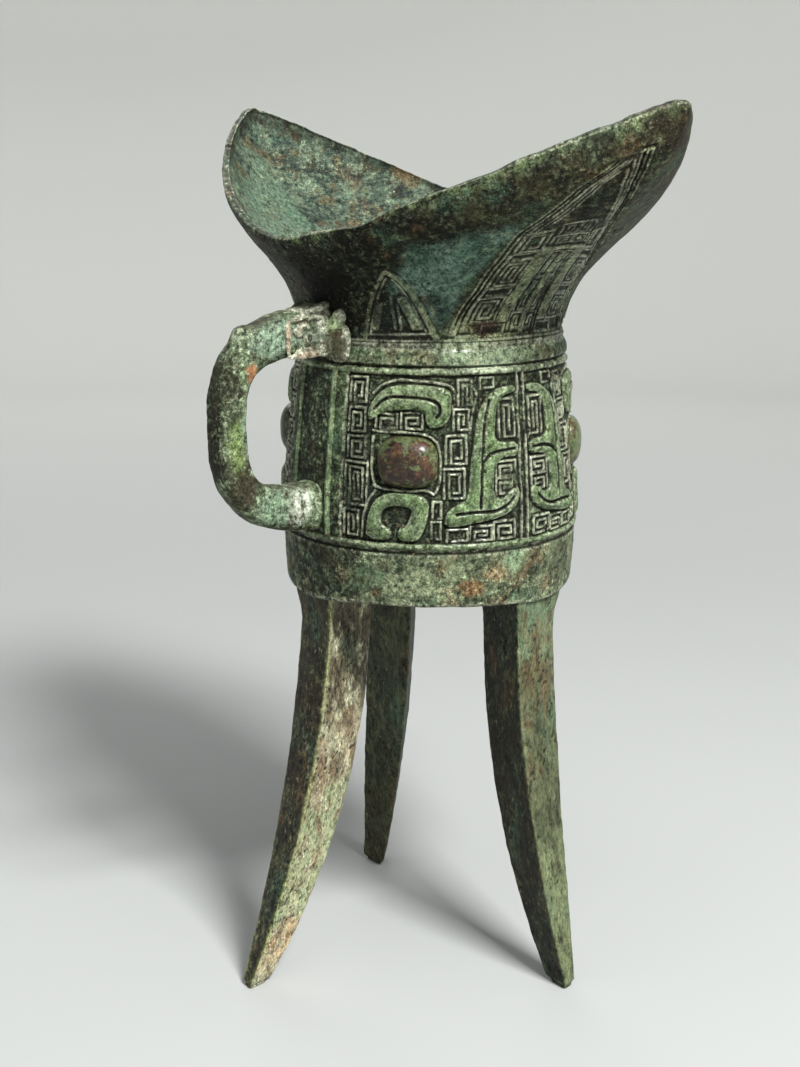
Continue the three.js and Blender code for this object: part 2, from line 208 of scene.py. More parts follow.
def add_attribute(mesh, name, values):
    values = np.ascontiguousarray(values, dtype=np.float32)
    kind = "FLOAT" if values.ndim == 1 else "FLOAT_VECTOR"
    field = mesh.attributes.new(name, kind, "POINT")
    field.data.foreach_set("value" if kind == "FLOAT" else "vector", values.ravel())


def face_outward(mesh):
    """Turns a closed mesh's faces outward, by the sign of its volume."""
    mesh.calc_loop_triangles()
    corners = read_field(mesh.vertices, "co")
    triangles = read_field(mesh.loop_triangles, "vertices", kind=np.int32)
    a, b, c = (corners[triangles[:, k]] for k in range(3))
    if np.einsum("ij,ij->i", a, np.cross(b, c)).sum() < 0:
        mesh.flip_normals()
    return mesh


def make_mesh(name, points, faces, sharp_ring=None, **fields):
    """points in millimetres about the cup's axis. fields are attributes of the points."""
    mesh = bpy.data.meshes.new(name)
    mesh.from_pydata(((points + axis_mm) * MM).tolist(), [], faces)
    for field, values in fields.items():
        add_attribute(mesh, field, values)
    mesh.shade_smooth()
    if sharp_ring is not None:
        marked = np.zeros(len(points), bool)
        marked[sharp_ring] = True
        ends = read_field(mesh.edges, "vertices", 2, np.int32)
        sharp = mesh.attributes.new("sharp_edge", "BOOLEAN", "EDGE")
        sharp.data.foreach_set("value", marked[ends].all(axis=1))
    return face_outward(mesh)


def tube(name, block, outward, chart, relief=None):
    """A closed mesh from rings, with a fan over the first and over the last."""
    rows, sides = block.shape[:2]
    points = block.reshape(-1, 3)
    faces = quads(rows, sides, False, True)
    count = len(points)
    points = np.vstack([points, block[0].mean(axis=0), block[-1].mean(axis=0)])
    for side in range(sides):
        after = (side + 1) % sides
        faces.append((count, after, side))
        faces.append((count + 1, count - sides + side, count - sides + after))
    outward = np.vstack([outward.reshape(-1, 3), outward[0].mean(axis=0), outward[-1].mean(axis=0)])
    chart = np.vstack([chart.reshape(-1, 3), chart[0, 0], chart[-1, 0]])
    relief = np.zeros(count) if relief is None else relief.ravel()
    relief = np.append(relief, [relief[0], relief[-1]])
    return make_mesh(name, points, faces, outward=outward, chart=chart, relief=relief)


def shell(name, block, outward, chart, relief=None, crisp_rows=()):
    """A closed mesh from rows that loop round, cut open at both ends of the rows and capped."""
    rows, sides = block.shape[:2]
    faces = quads(rows, sides, True, False)
    faces.append([row * sides for row in range(rows)])
    faces.append([row * sides + sides - 1 for row in reversed(range(rows))])
    ring = [row * sides + end for row in range(rows) for end in (0, sides - 1)]
    for row in crisp_rows:
        ring.extend(range(row * sides, row * sides + sides))
    relief = np.zeros(rows * sides) if relief is None else relief.ravel()
    return make_mesh(
        name, block.reshape(-1, 3), faces, ring,
        outward=outward.reshape(-1, 3), chart=chart.reshape(-1, 3), relief=relief,
    )


# %% [markdown]
# Both the relief and the colours are node trees. A node's output is wrapped so that it can stand
# in an ordinary sum, and every node comes from one method that takes its type, its settings and
# its inputs. An input may be a number, a vector, or another output.

# %% Write node trees as sums
def pick(sockets, key):
    if isinstance(key, int):
        return sockets[key]
    return next(s for s in sockets if s.identifier == key or (s.name == key and s.enabled))


class Flow:
    """An output of a node. It takes part in sums with numbers and with other outputs."""

    def __init__(self, graph, socket):
        self.graph, self.socket = graph, socket

    def other(self, key):
        return Flow(self.graph, pick(self.socket.node.outputs, key))

    def sum(self, operation, first, second):
        return self.graph.node("ShaderNodeMath", {"operation": operation}, {0: first, 1: second})

    def __add__(self, term):
        return self.sum("ADD", self, term)

    def __mul__(self, term):
        return self.sum("MULTIPLY", self, term)

    __radd__, __rmul__ = __add__, __mul__

    def __sub__(self, term):
        return self.sum("SUBTRACT", self, term)

    def __rsub__(self, term):
        return self.sum("SUBTRACT", term, self)

    def larger(self, term):
        return self.sum("MAXIMUM", self, term)

    def rise(self, low, high):
        """Goes smoothly from 0 at low to 1 at high."""
        return self.graph.node(
            "ShaderNodeMapRange", {"interpolation_type": "SMOOTHSTEP"},
            {"Value": self, "From Min": low, "From Max": high},
        )


class Graph:
    def __init__(self, tree):
        self.tree = tree
        tree.nodes.clear()

    def node(self, kind, settings=None, inputs=None, output=0):
        made = self.tree.nodes.new(kind)
        for name, value in (settings or {}).items():
            setattr(made, name, value)
        for key, value in (inputs or {}).items():
            socket = pick(made.inputs, key)
            if isinstance(value, Flow):
                self.tree.links.new(value.socket, socket)
            else:
                socket.default_value = value
        return Flow(self, pick(made.outputs, output))

    def vector(self, operation, first, second):
        return self.node("ShaderNodeVectorMath", {"operation": operation}, {0: first, 1: second})

    def split(self, vector):
        """The three coordinates of a vector."""
        first = self.node("ShaderNodeSeparateXYZ", {}, {0: vector})
        return first, first.other(1), first.other(2)

    def length(self, vector):
        return self.node("ShaderNodeVectorMath", {"operation": "LENGTH"}, {0: vector}, "Value")

    def scaled(self, vector, factor):
        return self.node(
            "ShaderNodeVectorMath", {"operation": "SCALE"}, {0: vector, "Scale": factor}
        )

    def noise(self, place, size, detail, roughness=0.6):
        """Noise between 0 and 1 with features of about this size in millimetres."""
        return self.node("ShaderNodeTexNoise", {}, {
            "Vector": place, "Scale": 1000.0 / size, "Detail": detail, "Roughness": roughness,
        })

    def mix(self, factor, below, above):
        """Lays the colour above over the colour below, as far as factor says.

        A colour written as three numbers is in steps from 0 to 255."""
        below, above = (
            paint(*c) if isinstance(c, tuple) and len(c) == 3 else c for c in (below, above)
        )
        return self.node(
            "ShaderNodeMix", {"data_type": "RGBA"},
            {"Factor_Float": factor, "A_Color": below, "B_Color": above}, "Result_Color",
        )

    def layered(self, colour, layers):
        """Lays pairs of a share and a colour over a colour, one after the other."""
        for share, above in layers:
            colour = self.mix(share, colour, above)
        return colour


def paint(red, green, blue):
    """Turns a colour as it looks, in steps from 0 to 255, into light."""
    shares = [channel / 255 for channel in (red, green, blue)]
    return (*[s / 12.92 if s <= 0.04045 else ((s + 0.055) / 1.055) ** 2.4 for s in shares], 1.0)


def new_material(name):
    material = bpy.data.materials.new(name)
    material.use_nodes = True
    return material, Graph(material.node_tree)


def close_material(graph, inputs):
    surface = graph.node("ShaderNodeBsdfPrincipled", {}, inputs, "BSDF")
    sink = graph.tree.nodes.new("ShaderNodeOutputMaterial")
    graph.tree.links.new(surface.socket, sink.inputs["Surface"])


def geometry_tree(name, inputs):
    """A geometry tree with the named inputs. Gives the graph and the inputs as outputs."""
    tree = bpy.data.node_groups.new(name, "GeometryNodeTree")
    graph = Graph(tree)
    tree.interface.new_socket("Geometry", in_out="INPUT", socket_type="NodeSocketGeometry")
    for label, kind in inputs.items():
        tree.interface.new_socket(label, in_out="INPUT", socket_type="NodeSocket" + kind)
    tree.interface.new_socket("Geometry", in_out="OUTPUT", socket_type="NodeSocketGeometry")
    source = graph.node("NodeGroupInput")
    given = {label: source.other(label) for label in ["Geometry", *inputs]}
    return graph, given


def named(graph, name, kind="FLOAT"):
    return graph.node(
        "GeometryNodeInputNamedAttribute", {"data_type": kind}, {"Name": name}, "Attribute"
    )


def close_tree(graph, given, height, fields):
    """Moves each point outward by height in millimetres and stores the fields on the points.

    Every tree ends in real geometry that wears its material."""
    push = graph.scaled(named(graph, "outward", "FLOAT_VECTOR"), height * MM)
    geometry = graph.node(
        "GeometryNodeSetPosition", {}, {"Geometry": given["Geometry"], "Offset": push}
    )
    for name, value in fields.items():
        geometry = graph.node(
            "GeometryNodeStoreNamedAttribute", {"data_type": "FLOAT", "domain": "POINT"},
            {"Geometry": geometry, "Name": name, "Value": value},
        )
    real = graph.node("GeometryNodeRealizeInstances", {}, {"Geometry": geometry})
    dressed = graph.node(
        "GeometryNodeSetMaterial", {}, {"Geometry": real, "Material": given["Material"]}
    )
    sink = graph.tree.nodes.new("NodeGroupOutput")
    graph.tree.links.new(dressed.socket, sink.inputs[0])
    return graph.tree


print("tools for meshes and node trees are ready")

# %% [markdown]
# The cup's ornament and the mouth's blades were cut into the clay mould, so on the bronze they
# stand as flat raised bands, thin raised threads in squared spirals, and sunk ground between
# them. The tree below does the same from drawn lines. It measures how far each point of the wall
# is from the drawing, and moves it out or in along its own outward direction. The drawing is
# flat for the cup and lies on the surface for the mouth, and the tree can't tell them apart. Each
# rise below but the one of the wear has its limits in millimetres from the drawing.

# %% Relief tree
def distance_to(graph, drawing, element, place):
    shapes = graph.node("GeometryNodeObjectInfo", {}, {"Object": drawing}, "Geometry")
    near = graph.node(
        "GeometryNodeProximity", {"target_element": element},
        {0: shapes, "Source Position": place}, "Distance",
    )
    return near * 1000.0


graph, given = geometry_tree("cast_relief", {
    "Ground": "Object", "Bands": "Object", "Threads": "Object", "Grooves": "Object",
    "Ground depth": "Float", "Thread height": "Float", "Thread width": "Float",
    "Band height": "Float", "Band crown": "Float", "Groove depth": "Float", "Wear": "Float",
    "Material": "Material",
})
spot = named(graph, "spot", "FLOAT_VECTOR")
wear = graph.node("ShaderNodeTexNoise", {}, {"Scale": 130.0, "Detail": 4.0, "Roughness": 0.65})
lasting = 1.0 - wear.rise(0.5, 0.62) * given["Wear"]
in_ground = 1.0 - distance_to(graph, given["Ground"], "FACES", spot).rise(0.05, 0.5)
in_band = 1.0 - distance_to(graph, given["Bands"], "FACES", spot).rise(0.02, 0.42)
from_edge = distance_to(graph, given["Bands"], "EDGES", spot)
band_crown = from_edge.rise(0.0, 1.1) * given["Band crown"]
from_thread = distance_to(graph, given["Threads"], "EDGES", spot)
from_groove = distance_to(graph, given["Grooves"], "EDGES", spot)
in_thread = 1.0 - (from_thread - given["Thread width"]).rise(-0.1, 0.24)
in_groove = 1.0 - from_groove.rise(0.2, 0.52)
low_height = in_thread * lasting * given["Thread height"] - in_ground * given["Ground depth"]
height = low_height * (1.0 - in_band) + in_band * (band_crown + given["Band height"])
height = height - in_groove * lasting * given["Groove depth"]
relief_tree = close_tree(graph, given, height, {
    "relief": height + named(graph, "relief"),
    "band": in_band * (1.0 - in_groove),
    "thread": in_thread * lasting * (1.0 - in_band),
    "groove": in_groove,
})
print("relief tree has", len(relief_tree.nodes), "nodes")

# %% [markdown]
# Three thousand years in the ground have dented the metal, eaten pits into it and grown crusts
# on it. A second tree does this to every piece, from noise in space, so that it runs on unbroken
# from one piece to the next. It mostly takes metal away, which keeps the vessel inside its box.

# %% Weathering tree
graph, given = geometry_tree("weathering", {
    "Dents": "Float", "Lumps": "Float", "Pits": "Float", "Material": "Material",
})
place = graph.node("GeometryNodeInputPosition")


def soil_noise(size, detail, shift):
    moved_place = graph.vector("ADD", place, (shift, shift * 0.7, -shift))
    return graph.noise(moved_place, size, detail)


dents = soil_noise(21.0, 2.0, 0.31)
lumps = soil_noise(3.6, 5.0, 1.7)
pits = soil_noise(1.5, 2.0, 2.9)
where_pits = soil_noise(14.0, 2.0, 4.1).rise(0.42, 0.62)
pitted = pits.rise(0.55, 0.72) * where_pits
crusted = lumps.rise(0.5, 0.66)
height = (dents - 0.62) * 2.0 * given["Dents"] + (lumps - 0.6) * 2.0 * given["Lumps"]
height = height - pitted * given["Pits"]
weather_tree = close_tree(graph, given, height, {"crust": crusted, "pit": pitted})
print("weathering tree has", len(weather_tree.nodes), "nodes")

# %% [markdown]
# The drawing itself is kept as meshes that aren't shown. Lines become loose edges, a flat band
# becomes one face, and a band that bends with the mouth becomes a few rows of quads. Corners are
# cut off once or twice, the way a clay tool rounds them.

# %% Drawing helpers
def rounded(points, closed=False, times=2):
    """Chaikin's corner cutting."""
    points = np.asarray(points, float)
    for _ in range(times):
        ahead_points = np.roll(points, -1, axis=0) if closed else points[1:]
        start = points if closed else points[:-1]
        cut = np.empty((len(start) * 2, points.shape[1]))
        cut[0::2] = start * 0.75 + ahead_points * 0.25
        cut[1::2] = start * 0.25 + ahead_points * 0.75
        points = cut if closed else np.vstack([points[:1], cut, points[-1:]])
    return points


def key_spiral(left, low, right, high, pitch=1.25):
    """A squared spiral that starts in the lower left corner and winds inward."""
    path = [(left, low)]
    while right - left > 0.5 * pitch and high - low > 0.5 * pitch:
        path += [(left, high), (right, high), (right, low), (left + pitch, low)]
        left, low, right, high = left + pitch, low + pitch, right - pitch, high - pitch
    return np.array(path)


def drawing_object(name, lines=(), plates=()):
    """Lines as edges and plates as faces, all in millimetres, as one hidden object."""
    points, edges, faces = [], [], []
    for line in lines:
        first = len(points)
        points.extend(line)
        edges.extend((first + k, first + k + 1) for k in range(len(line) - 1))
    for plate in plates:
        rows, sides = np.shape(plate)[:2] if np.ndim(plate) == 3 else (1, len(plate))
        first = len(points)
        points.extend(np.reshape(plate, (-1, 3)))
        if rows == 1:
            faces.append([first + k for k in range(sides)])
        else:
            faces.extend(quads(rows, sides, False, False, first))
    mesh = bpy.data.meshes.new(name)
    mesh.from_pydata((np.array(points) * MM).tolist(), edges, faces)
    drawn = add_object(name, mesh)
    drawn.hide_render = True
    return drawn


# %% [markdown]
# The cup carries one mask-like face twice, once on the handle's side and once opposite. Each is
# mirrored about its middle, so a quarter of the band is drawn: across in millimetres along the
# wall from the middle of the face, and up in millimetres above the table. A brow over the eye, a
# jaw below it and a body that rises behind it stand as bands. Squared spirals fill the ground
# between them. Under the handle the face has a bare panel in place of its nose.

# %% Draw the cup's ornament
FIELD_LOW, FIELD_HIGH = 119.2, 159.4
BROW = [
    (18, 148.6), (18.4, 151.8), (20.3, 154.6), (23.6, 156.4), (28.5, 157), (34, 156.7),
    (38.4, 156.2), (39.2, 153.6), (38.9, 150.2), (37.4, 147.8), (34.4, 147.1), (33, 148.4),
    (33, 150.6), (31, 151.5), (25.5, 151.5), (21.6, 150.8), (19.6, 149.2),
]
JAW = [
    (18.6, 120.3), (18.6, 124), (19.8, 128), (21.5, 130.4), (25, 131.4), (29, 131.5),
    (32, 130.9), (33.6, 129.4), (33.4, 126), (32, 122), (31.2, 120.3), (26.4, 120.3),
    (26.6, 122.8), (28.6, 123.4), (29.6, 126), (30, 127.8), (28, 128.8), (24.5, 128.7),
    (22.5, 127.6), (21.8, 125), (22.6, 123.4), (24.5, 122.6), (24.6, 120.3),
]
BODY = [
    (37.6, 123.6), (37.9, 126.6), (40, 128.3), (42.6, 129.3), (43.6, 132), (44.1, 137),
    (44.9, 142.5), (45.7, 148), (46.9, 151.8), (49.2, 154.4), (52.4, 156), (56.6, 156.4),
    (56.6, 155), (52.8, 154.4), (51, 152.2), (50.2, 148), (50.1, 143.6), (53, 142.9),
    (56.8, 142.9), (56.8, 139.8), (53.4, 139.9), (50.9, 139), (49.7, 136.6), (49.5, 130.4),
    (52, 129.4), (55, 131.6), (56.8, 131.8), (56.6, 128.6), (54, 126.2), (48.6, 124.9),
    (42.6, 124.1),
]
BAND_GROOVES = [
    [(19.8, 151.2), (21.6, 153.3), (25, 154.3), (30, 154.2), (34.5, 153.6), (36.3, 152.4),
     (36.4, 150.6), (35.4, 149.6)],
    [(48.9, 153.2), (47.6, 149), (47, 143), (46.7, 136), (46.2, 128)],
    [(40.4, 126.6), (44, 127), (47, 126.9), (50.4, 126.9), (53.4, 128.2), (55, 129.9)],
    [(47.2, 139), (48.8, 140.6), (51.6, 141.4), (55.9, 141.4)],
]
THREADS = [
    [(19, 154.9), (21.6, 157.2), (26, 158.4), (38.6, 157.4), (40, 155.6)],
    [(19.4, 146), (30, 145.9), (33.5, 145.4), (35.8, 143.6), (36.6, 140.5), (36.6, 136),
     (36, 133.2), (35.4, 131.8)],
    [(20, 133.2), (22.5, 132.3), (30, 132.1), (33, 132.4), (34.9, 131.4)],
    [(19.3, 144.5), (19.1, 138), (19.7, 134.5), (20.6, 132.7)],
    [(17, 120.4), (17.3, 125.2), (18.6, 129.4), (20.4, 131.8)],
    [(44.8, 156.6), (46.2, 154.8), (44.6, 150.6), (43.9, 146)],
]
SPIRALS = [
    (12.2, 152.6, 17, 158.4), (12.2, 145.6, 17, 151.2), (12.4, 139.4, 17.2, 144.4),
    (12, 128, 18.2, 138.2), (12, 120.6, 16, 126.6), (20, 146.8, 25.6, 150.2),
    (26.6, 146.8, 32, 150.6), (41, 152.4, 44.6, 158.2), (39.8, 146.6, 43.6, 151.4),
    (37.8, 138.6, 43, 145.2), (37.4, 130.4, 42.4, 137.4), (34.4, 120.6, 36.6, 124.8),
    (34.7, 125.6, 36.7, 129.6), (46.8, 156.2, 50.6, 158.6), (38.2, 119.9, 43.2, 122.8),
    (43.8, 119.9, 49.4, 123.4), (50, 119.9, 55.8, 124.2), (50.6, 130.9, 56.4, 134.6),
    (50.6, 135, 56.4, 138.6),
]
WIDE_SPIRALS = [(51.8, 144.4, 56.4, 153.4)]
NOSE_SPIRALS = [
    (3.6, 120.6, 10.8, 127.8), (3.6, 129, 10.8, 137), (3.6, 138.2, 10.8, 146.5),
    (3.6, 147.6, 10.8, 158.2),
]
FAR_SIDE = 200.0


def block_outline(left, low, right, high):
    return [(left, low), (right, low), (right, high), (left, high)]


shared_bands = [rounded(shape, closed=True, times=1) for shape in (BROW, JAW, BODY)]
shared_threads = [rounded(line) for line in THREADS]
shared_threads += [key_spiral(*corners) for corners in SPIRALS]
shared_threads += [key_spiral(*corners, pitch=1.55) for corners in WIDE_SPIRALS]
shared_threads += [[(57.9, FIELD_LOW), (57.9, FIELD_HIGH)]]
shared_grooves = [rounded(line) for line in BAND_GROOVES]
rails = [block_outline(-1, 118.3, 60, 119.1), block_outline(-1, 159.6, 60, 160.4)]
near_bands = shared_bands + rails + [block_outline(6.2, 119.1, 7.6, 159.6)]
far_bands = shared_bands + rails + [rounded(block_outline(-4.0, 121.0, 2.4, 157.5), closed=True)]
near_threads = shared_threads + [[(11.2, FIELD_LOW), (11.2, FIELD_HIGH)]]
far_threads = shared_threads + [key_spiral(*corners, pitch=1.3) for corners in NOSE_SPIRALS]
near_ground = [block_outline(11.2, FIELD_LOW, 60, FIELD_HIGH)]
far_ground = [block_outline(-1, FIELD_LOW, 60, FIELD_HIGH)]


def laid_flat(near, far):
    """Gives the shapes of both sides a third coordinate, and moves the far side's well away."""
    return [
        np.array([(x + shift, y, 0.0) for x, y in shape])
        for shapes, shift in ((near, 0), (far, FAR_SIDE)) for shape in shapes
    ]


cup_drawings = {
    "Ground": drawing_object("cup_ground", plates=laid_flat(near_ground, far_ground)),
    "Bands": drawing_object("cup_bands", plates=laid_flat(near_bands, far_bands)),
    "Threads": drawing_object("cup_threads", lines=laid_flat(near_threads, far_threads)),
    "Grooves": drawing_object("cup_grooves", lines=laid_flat(shared_grooves, shared_grooves)),
}
print("cup drawing:", len(near_bands + far_bands), "bands", len(near_threads + far_threads), "threads")

# %% [markdown]
# The mouth is the hardest form. Each line on it starts upright on the round neck, flares out and
# stands up again at the rim, and the rim itself swings low beside the handle and high at the two
# wings. A Bezier curve does one such line, and its end points and pulls change with the angle.
# The same function serves the wall, its inside and everything drawn on it.

# %% The mouth as a function
WING_REACH, WING_RISE = 84.5, 55.6
SADDLE_HALF_WIDTH, SADDLE_RISE = 45.2, 24.8
NECK_RADIUS = 33.5
LIP_WALL, MOUTH_WALL = 1.6, 2.4
# How hard a line is pulled upright at the neck and at the rim, by the handle and at a wing, and
# how far its upper pull leans in.
NECK_PULLS, RIM_PULLS, RIM_LEAN = (16.9, 24.2), (9.0, 24.4), 2.2
# The powers that shape the rim's plan and its climb to the wings.
LEAF_POWER, LEAF_ROUND, CLIMB_POWER = 1.86, 0.9, 1.49


def mouth_point(angle, t, inset=0.0, lift=0.0):
    """angle in radians, t from 0 at the neck to 1 at the rim, inset and lift in millimetres."""
    angle, t, inset, lift = np.broadcast_arrays(angle, t, inset, lift)
    wing = np.abs(np.cos(angle))
    blend = wing ** 2
    leaf = (SADDLE_HALF_WIDTH - inset) * np.maximum(0.0, 1 - wing ** LEAF_POWER) ** LEAF_ROUND
    tip = math.sqrt(2.0 * WING_REACH) * np.abs(np.sin(angle)) * blend
    rim_x = (WING_REACH - inset * 1.5) * np.cos(angle)
    rim_y = np.sign(np.sin(angle)) * np.hypot(leaf, tip)
    rim_z = SADDLE_RISE + (WING_RISE - SADDLE_RISE) * wing ** CLIMB_POWER
    neck_x = (NECK_RADIUS - inset) * np.cos(angle)
    neck_y = (NECK_RADIUS - inset) * np.sin(angle)
    away = np.hypot(rim_x - neck_x, rim_y - neck_y)
    w0, w1, w2, w3 = (1 - t) ** 3, 3 * (1 - t) ** 2 * t, 3 * (1 - t) * t ** 2, t ** 3

    def level(neck, rim):
        return neck * (w0 + w1) + (rim - (rim - neck) / away * RIM_LEAN) * w2 + rim * w3

    rise = lerp(*NECK_PULLS, blend) * w1 + (rim_z - lerp(*RIM_PULLS, blend)) * w2 + rim_z * w3
    return np.stack([
        level(neck_x, rim_x), level(neck_y, rim_y), rise + neck_height + lift
    ], axis=-1)


def mouth_outside(angle, t):
    return mouth_point(angle, t, -0.4 * smoothstep(t, 0.8, 0.92))


# %% [markdown]
# Under each wing stands a tall blade, and small triangles stand between the blades. A blade is
# laid out between its two borders, so its height runs from the neck to its point and its width
# from one border to the other. The borders are raised bands with a groove along them. Two flat
# ribs, joined by a bar, part three columns of squared spirals, and above these run plain threads
# that follow the borders.

# %% Draw the mouth's ornament
BLADE_LEFT = np.array([
    (0.04, -31.5), (0.23, -28.2), (0.395, -30.5), (0.547, -34.0), (0.652, -31.8), (0.76, -29.5),
    (0.848, -23.5), (0.89, -13.0),
])
BLADE_RIGHT = np.array([
    (0.04, 33.0), (0.25, 31.0), (0.36, 26.8), (0.453, 19.2), (0.595, 4.2), (0.735, -7.0),
    (0.84, -11.5), (0.89, -13.0),
])
BLADE_EDGES = (BLADE_LEFT, BLADE_RIGHT)
RIB_SHARE = 0.33
WALL_LENGTH = 75.0


def surface_line(angles, heights):
    return mouth_outside(np.radians(angles), np.asarray(heights, float))


def blade_point(across, t, edges=BLADE_EDGES):
    """across runs from 0 at the left border to 1 at the right one."""
    left = np.interp(t, edges[0][:, 0], edges[0][:, 1])
    right = np.interp(t, edges[1][:, 0], edges[1][:, 1])
    return surface_line(lerp(left, right, across), t)


def blade_width(t, edges=BLADE_EDGES):
    """The width in millimetres along the surface."""
    walk = blade_point(np.linspace(0, 1, 40)[:, None], np.atleast_1d(t)[None, :], edges)
    return np.linalg.norm(np.diff(walk, axis=0), axis=2).sum(axis=0)


def blade_strip(share, start_mm, end_mm, low, high, edges=BLADE_EDGES):
    """A band between two offsets in millimetres from a line at a share of the width."""
    t = np.linspace(low, high, 60)
    width = blade_width(t, edges)
    start = share + start_mm / width
    end = share + end_mm / width
    return np.stack([
        blade_point(np.clip(lerp(start, end, k), 0, 1), t, edges) for k in (0.0, 0.5, 1.0)
    ])


def blade_line(share, offset_mm, low, high, edges=BLADE_EDGES):
    t = np.linspace(low, high, 60)
    across = share + offset_mm / blade_width(t, edges)
    return blade_point(np.clip(across, 0, 1), t, edges)


def blade_spiral(share_low, share_high, t_low, t_high):
    """A squared spiral between two shares of the width and two heights."""
    tall = (t_high - t_low) * WALL_LENGTH
    wide = blade_width((t_low + t_high) / 2)[0] * abs(share_high - share_low)
    path = key_spiral(0.0, 0.0, wide, tall)
    across = share_low + path[:, 0] / wide * (share_high - share_low)
    return blade_point(across, t_low + path[:, 1] / tall * (t_high - t_low))


def along_both_borders(rows):
    """Lines at offsets inward from the two borders, from (offset, low, high)."""
    return [
        blade_line(border, offset * (1 - 2 * border), low, high)
        for offset, low, high in rows for border in (0, 1)
    ]


blade_bands = [blade_strip(*row) for row in (
    (0.0, 0.0, 1.5, 0.05, 0.87), (1.0, -1.5, 0.0, 0.05, 0.87),
    (RIB_SHARE, -1.4, 1.4, 0.09, 0.43), (1 - RIB_SHARE, -1.4, 1.4, 0.09, 0.43),
    (0.5, -5.2, 5.2, 0.415, 0.43), (0.5, -0.5, 0.5, 0.05, 0.4),
)]
blade_grooves = along_both_borders([(0.75, 0.07, 0.86), (1.9, 0.1, 0.86)])
blade_threads = along_both_borders([(2.7, 0.1, 0.86), (3.8, 0.5, 0.84), (4.9, 0.56, 0.8)])
BLADE_SPIRALS = [
    (0.08, 0.27, 0.09, 0.19), (0.08, 0.27, 0.2, 0.235), (0.08, 0.27, 0.245, 0.37),
    (0.08, 0.27, 0.38, 0.41), (0.09, 0.28, 0.42, 0.53), (0.39, 0.485, 0.06, 0.12),
    (0.39, 0.485, 0.13, 0.27), (0.39, 0.485, 0.28, 0.4), (0.32, 0.49, 0.445, 0.49),
    (0.34, 0.49, 0.5, 0.56), (0.2, 0.36, 0.045, 0.08),
]
for start, end, t_low, t_high in BLADE_SPIRALS:
    for left, right in ((start, end), (1 - start, 1 - end)):
        blade_threads.append(blade_spiral(left, right, t_low, t_high))
small_ground, small_bands, small_threads = [], [], []
for base_left, base_right, tip_angle, tip_height in (
    (-66.5, -34.5, -64.0, 0.47), (34.5, 66.5, 64.0, 0.47), (75.0, 105.0, 90.0, 0.42),
):
    edges = (
        np.array([(0.03, base_left), (tip_height, tip_angle)]),
        np.array([(0.03, base_right), (tip_height, tip_angle)]),
    )
    for share, start_mm, end_mm, low, below_tip in (
        (0.0, 0.0, 0.7, 0.03, 0.01), (1.0, -1.3, 0.0, 0.03, 0.01),
        (1.0, -4.9, -2.9, 0.075, 0.23), (0.0, 2.3, 3.5, 0.075, 0.25),
    ):
        small_bands.append(
            blade_strip(share, start_mm, end_mm, low, tip_height - below_tip, edges)
        )
    for share, offset_mm, low, below_tip in (
        (0.0, 1.7, 0.06, 0.08), (1.0, -2.2, 0.06, 0.1),
        (0.5, 0.8, 0.08, 0.26), (0.5, -0.6, 0.08, 0.22),
    ):
        small_threads.append(blade_line(share, offset_mm, low, tip_height - below_tip, edges))
    small_threads.append(blade_point(np.linspace(0.04, 0.96, 20), np.full(20, 0.055), edges))
    t_values = np.linspace(0.03, tip_height, 30)[:, None]
    small_ground.append(blade_point(np.linspace(0, 1, 14)[None, :], t_values, edges))
t_values = np.linspace(0.05, 0.88, 60)[:, None]
blade_ground = blade_point(np.linspace(0, 1, 40)[None, :], t_values)
ring_angles = np.linspace(-92, 92, 120)
neck_threads = [surface_line(ring_angles, np.full(120, t)) for t in (0.012, 0.028)]
mouth_threads = blade_threads + small_threads + neck_threads
mouth_drawings = {
    "Ground": drawing_object("mouth_ground", plates=[blade_ground] + small_ground),
    "Bands": drawing_object("mouth_bands", plates=blade_bands + small_bands),
    "Threads": drawing_object("mouth_threads", lines=mouth_threads),
    "Grooves": drawing_object("mouth_grooves", lines=blade_grooves),
}
print("mouth drawing:", len(blade_threads + small_threads), "threads")

# %% [markdown]
# Colours are written as they look, in steps from 0 to 255. A few have names: verdigris from pale to
# deep, the black of dirt, which also serves as painted shade in hollows, and the sandy and orange soil
# that still sticks here and there. All others stand where they are used.

# %% The palette
PALE = (160, 172, 144)
GREEN = (92, 108, 80)
DEEP = (50, 56, 44)
BLACK = (24, 24, 19)
SAND = (178, 158, 126)
ORANGE = (164, 112, 76)
print("named paints:", PALE, GREEN, DEEP, BLACK, SAND, ORANGE)
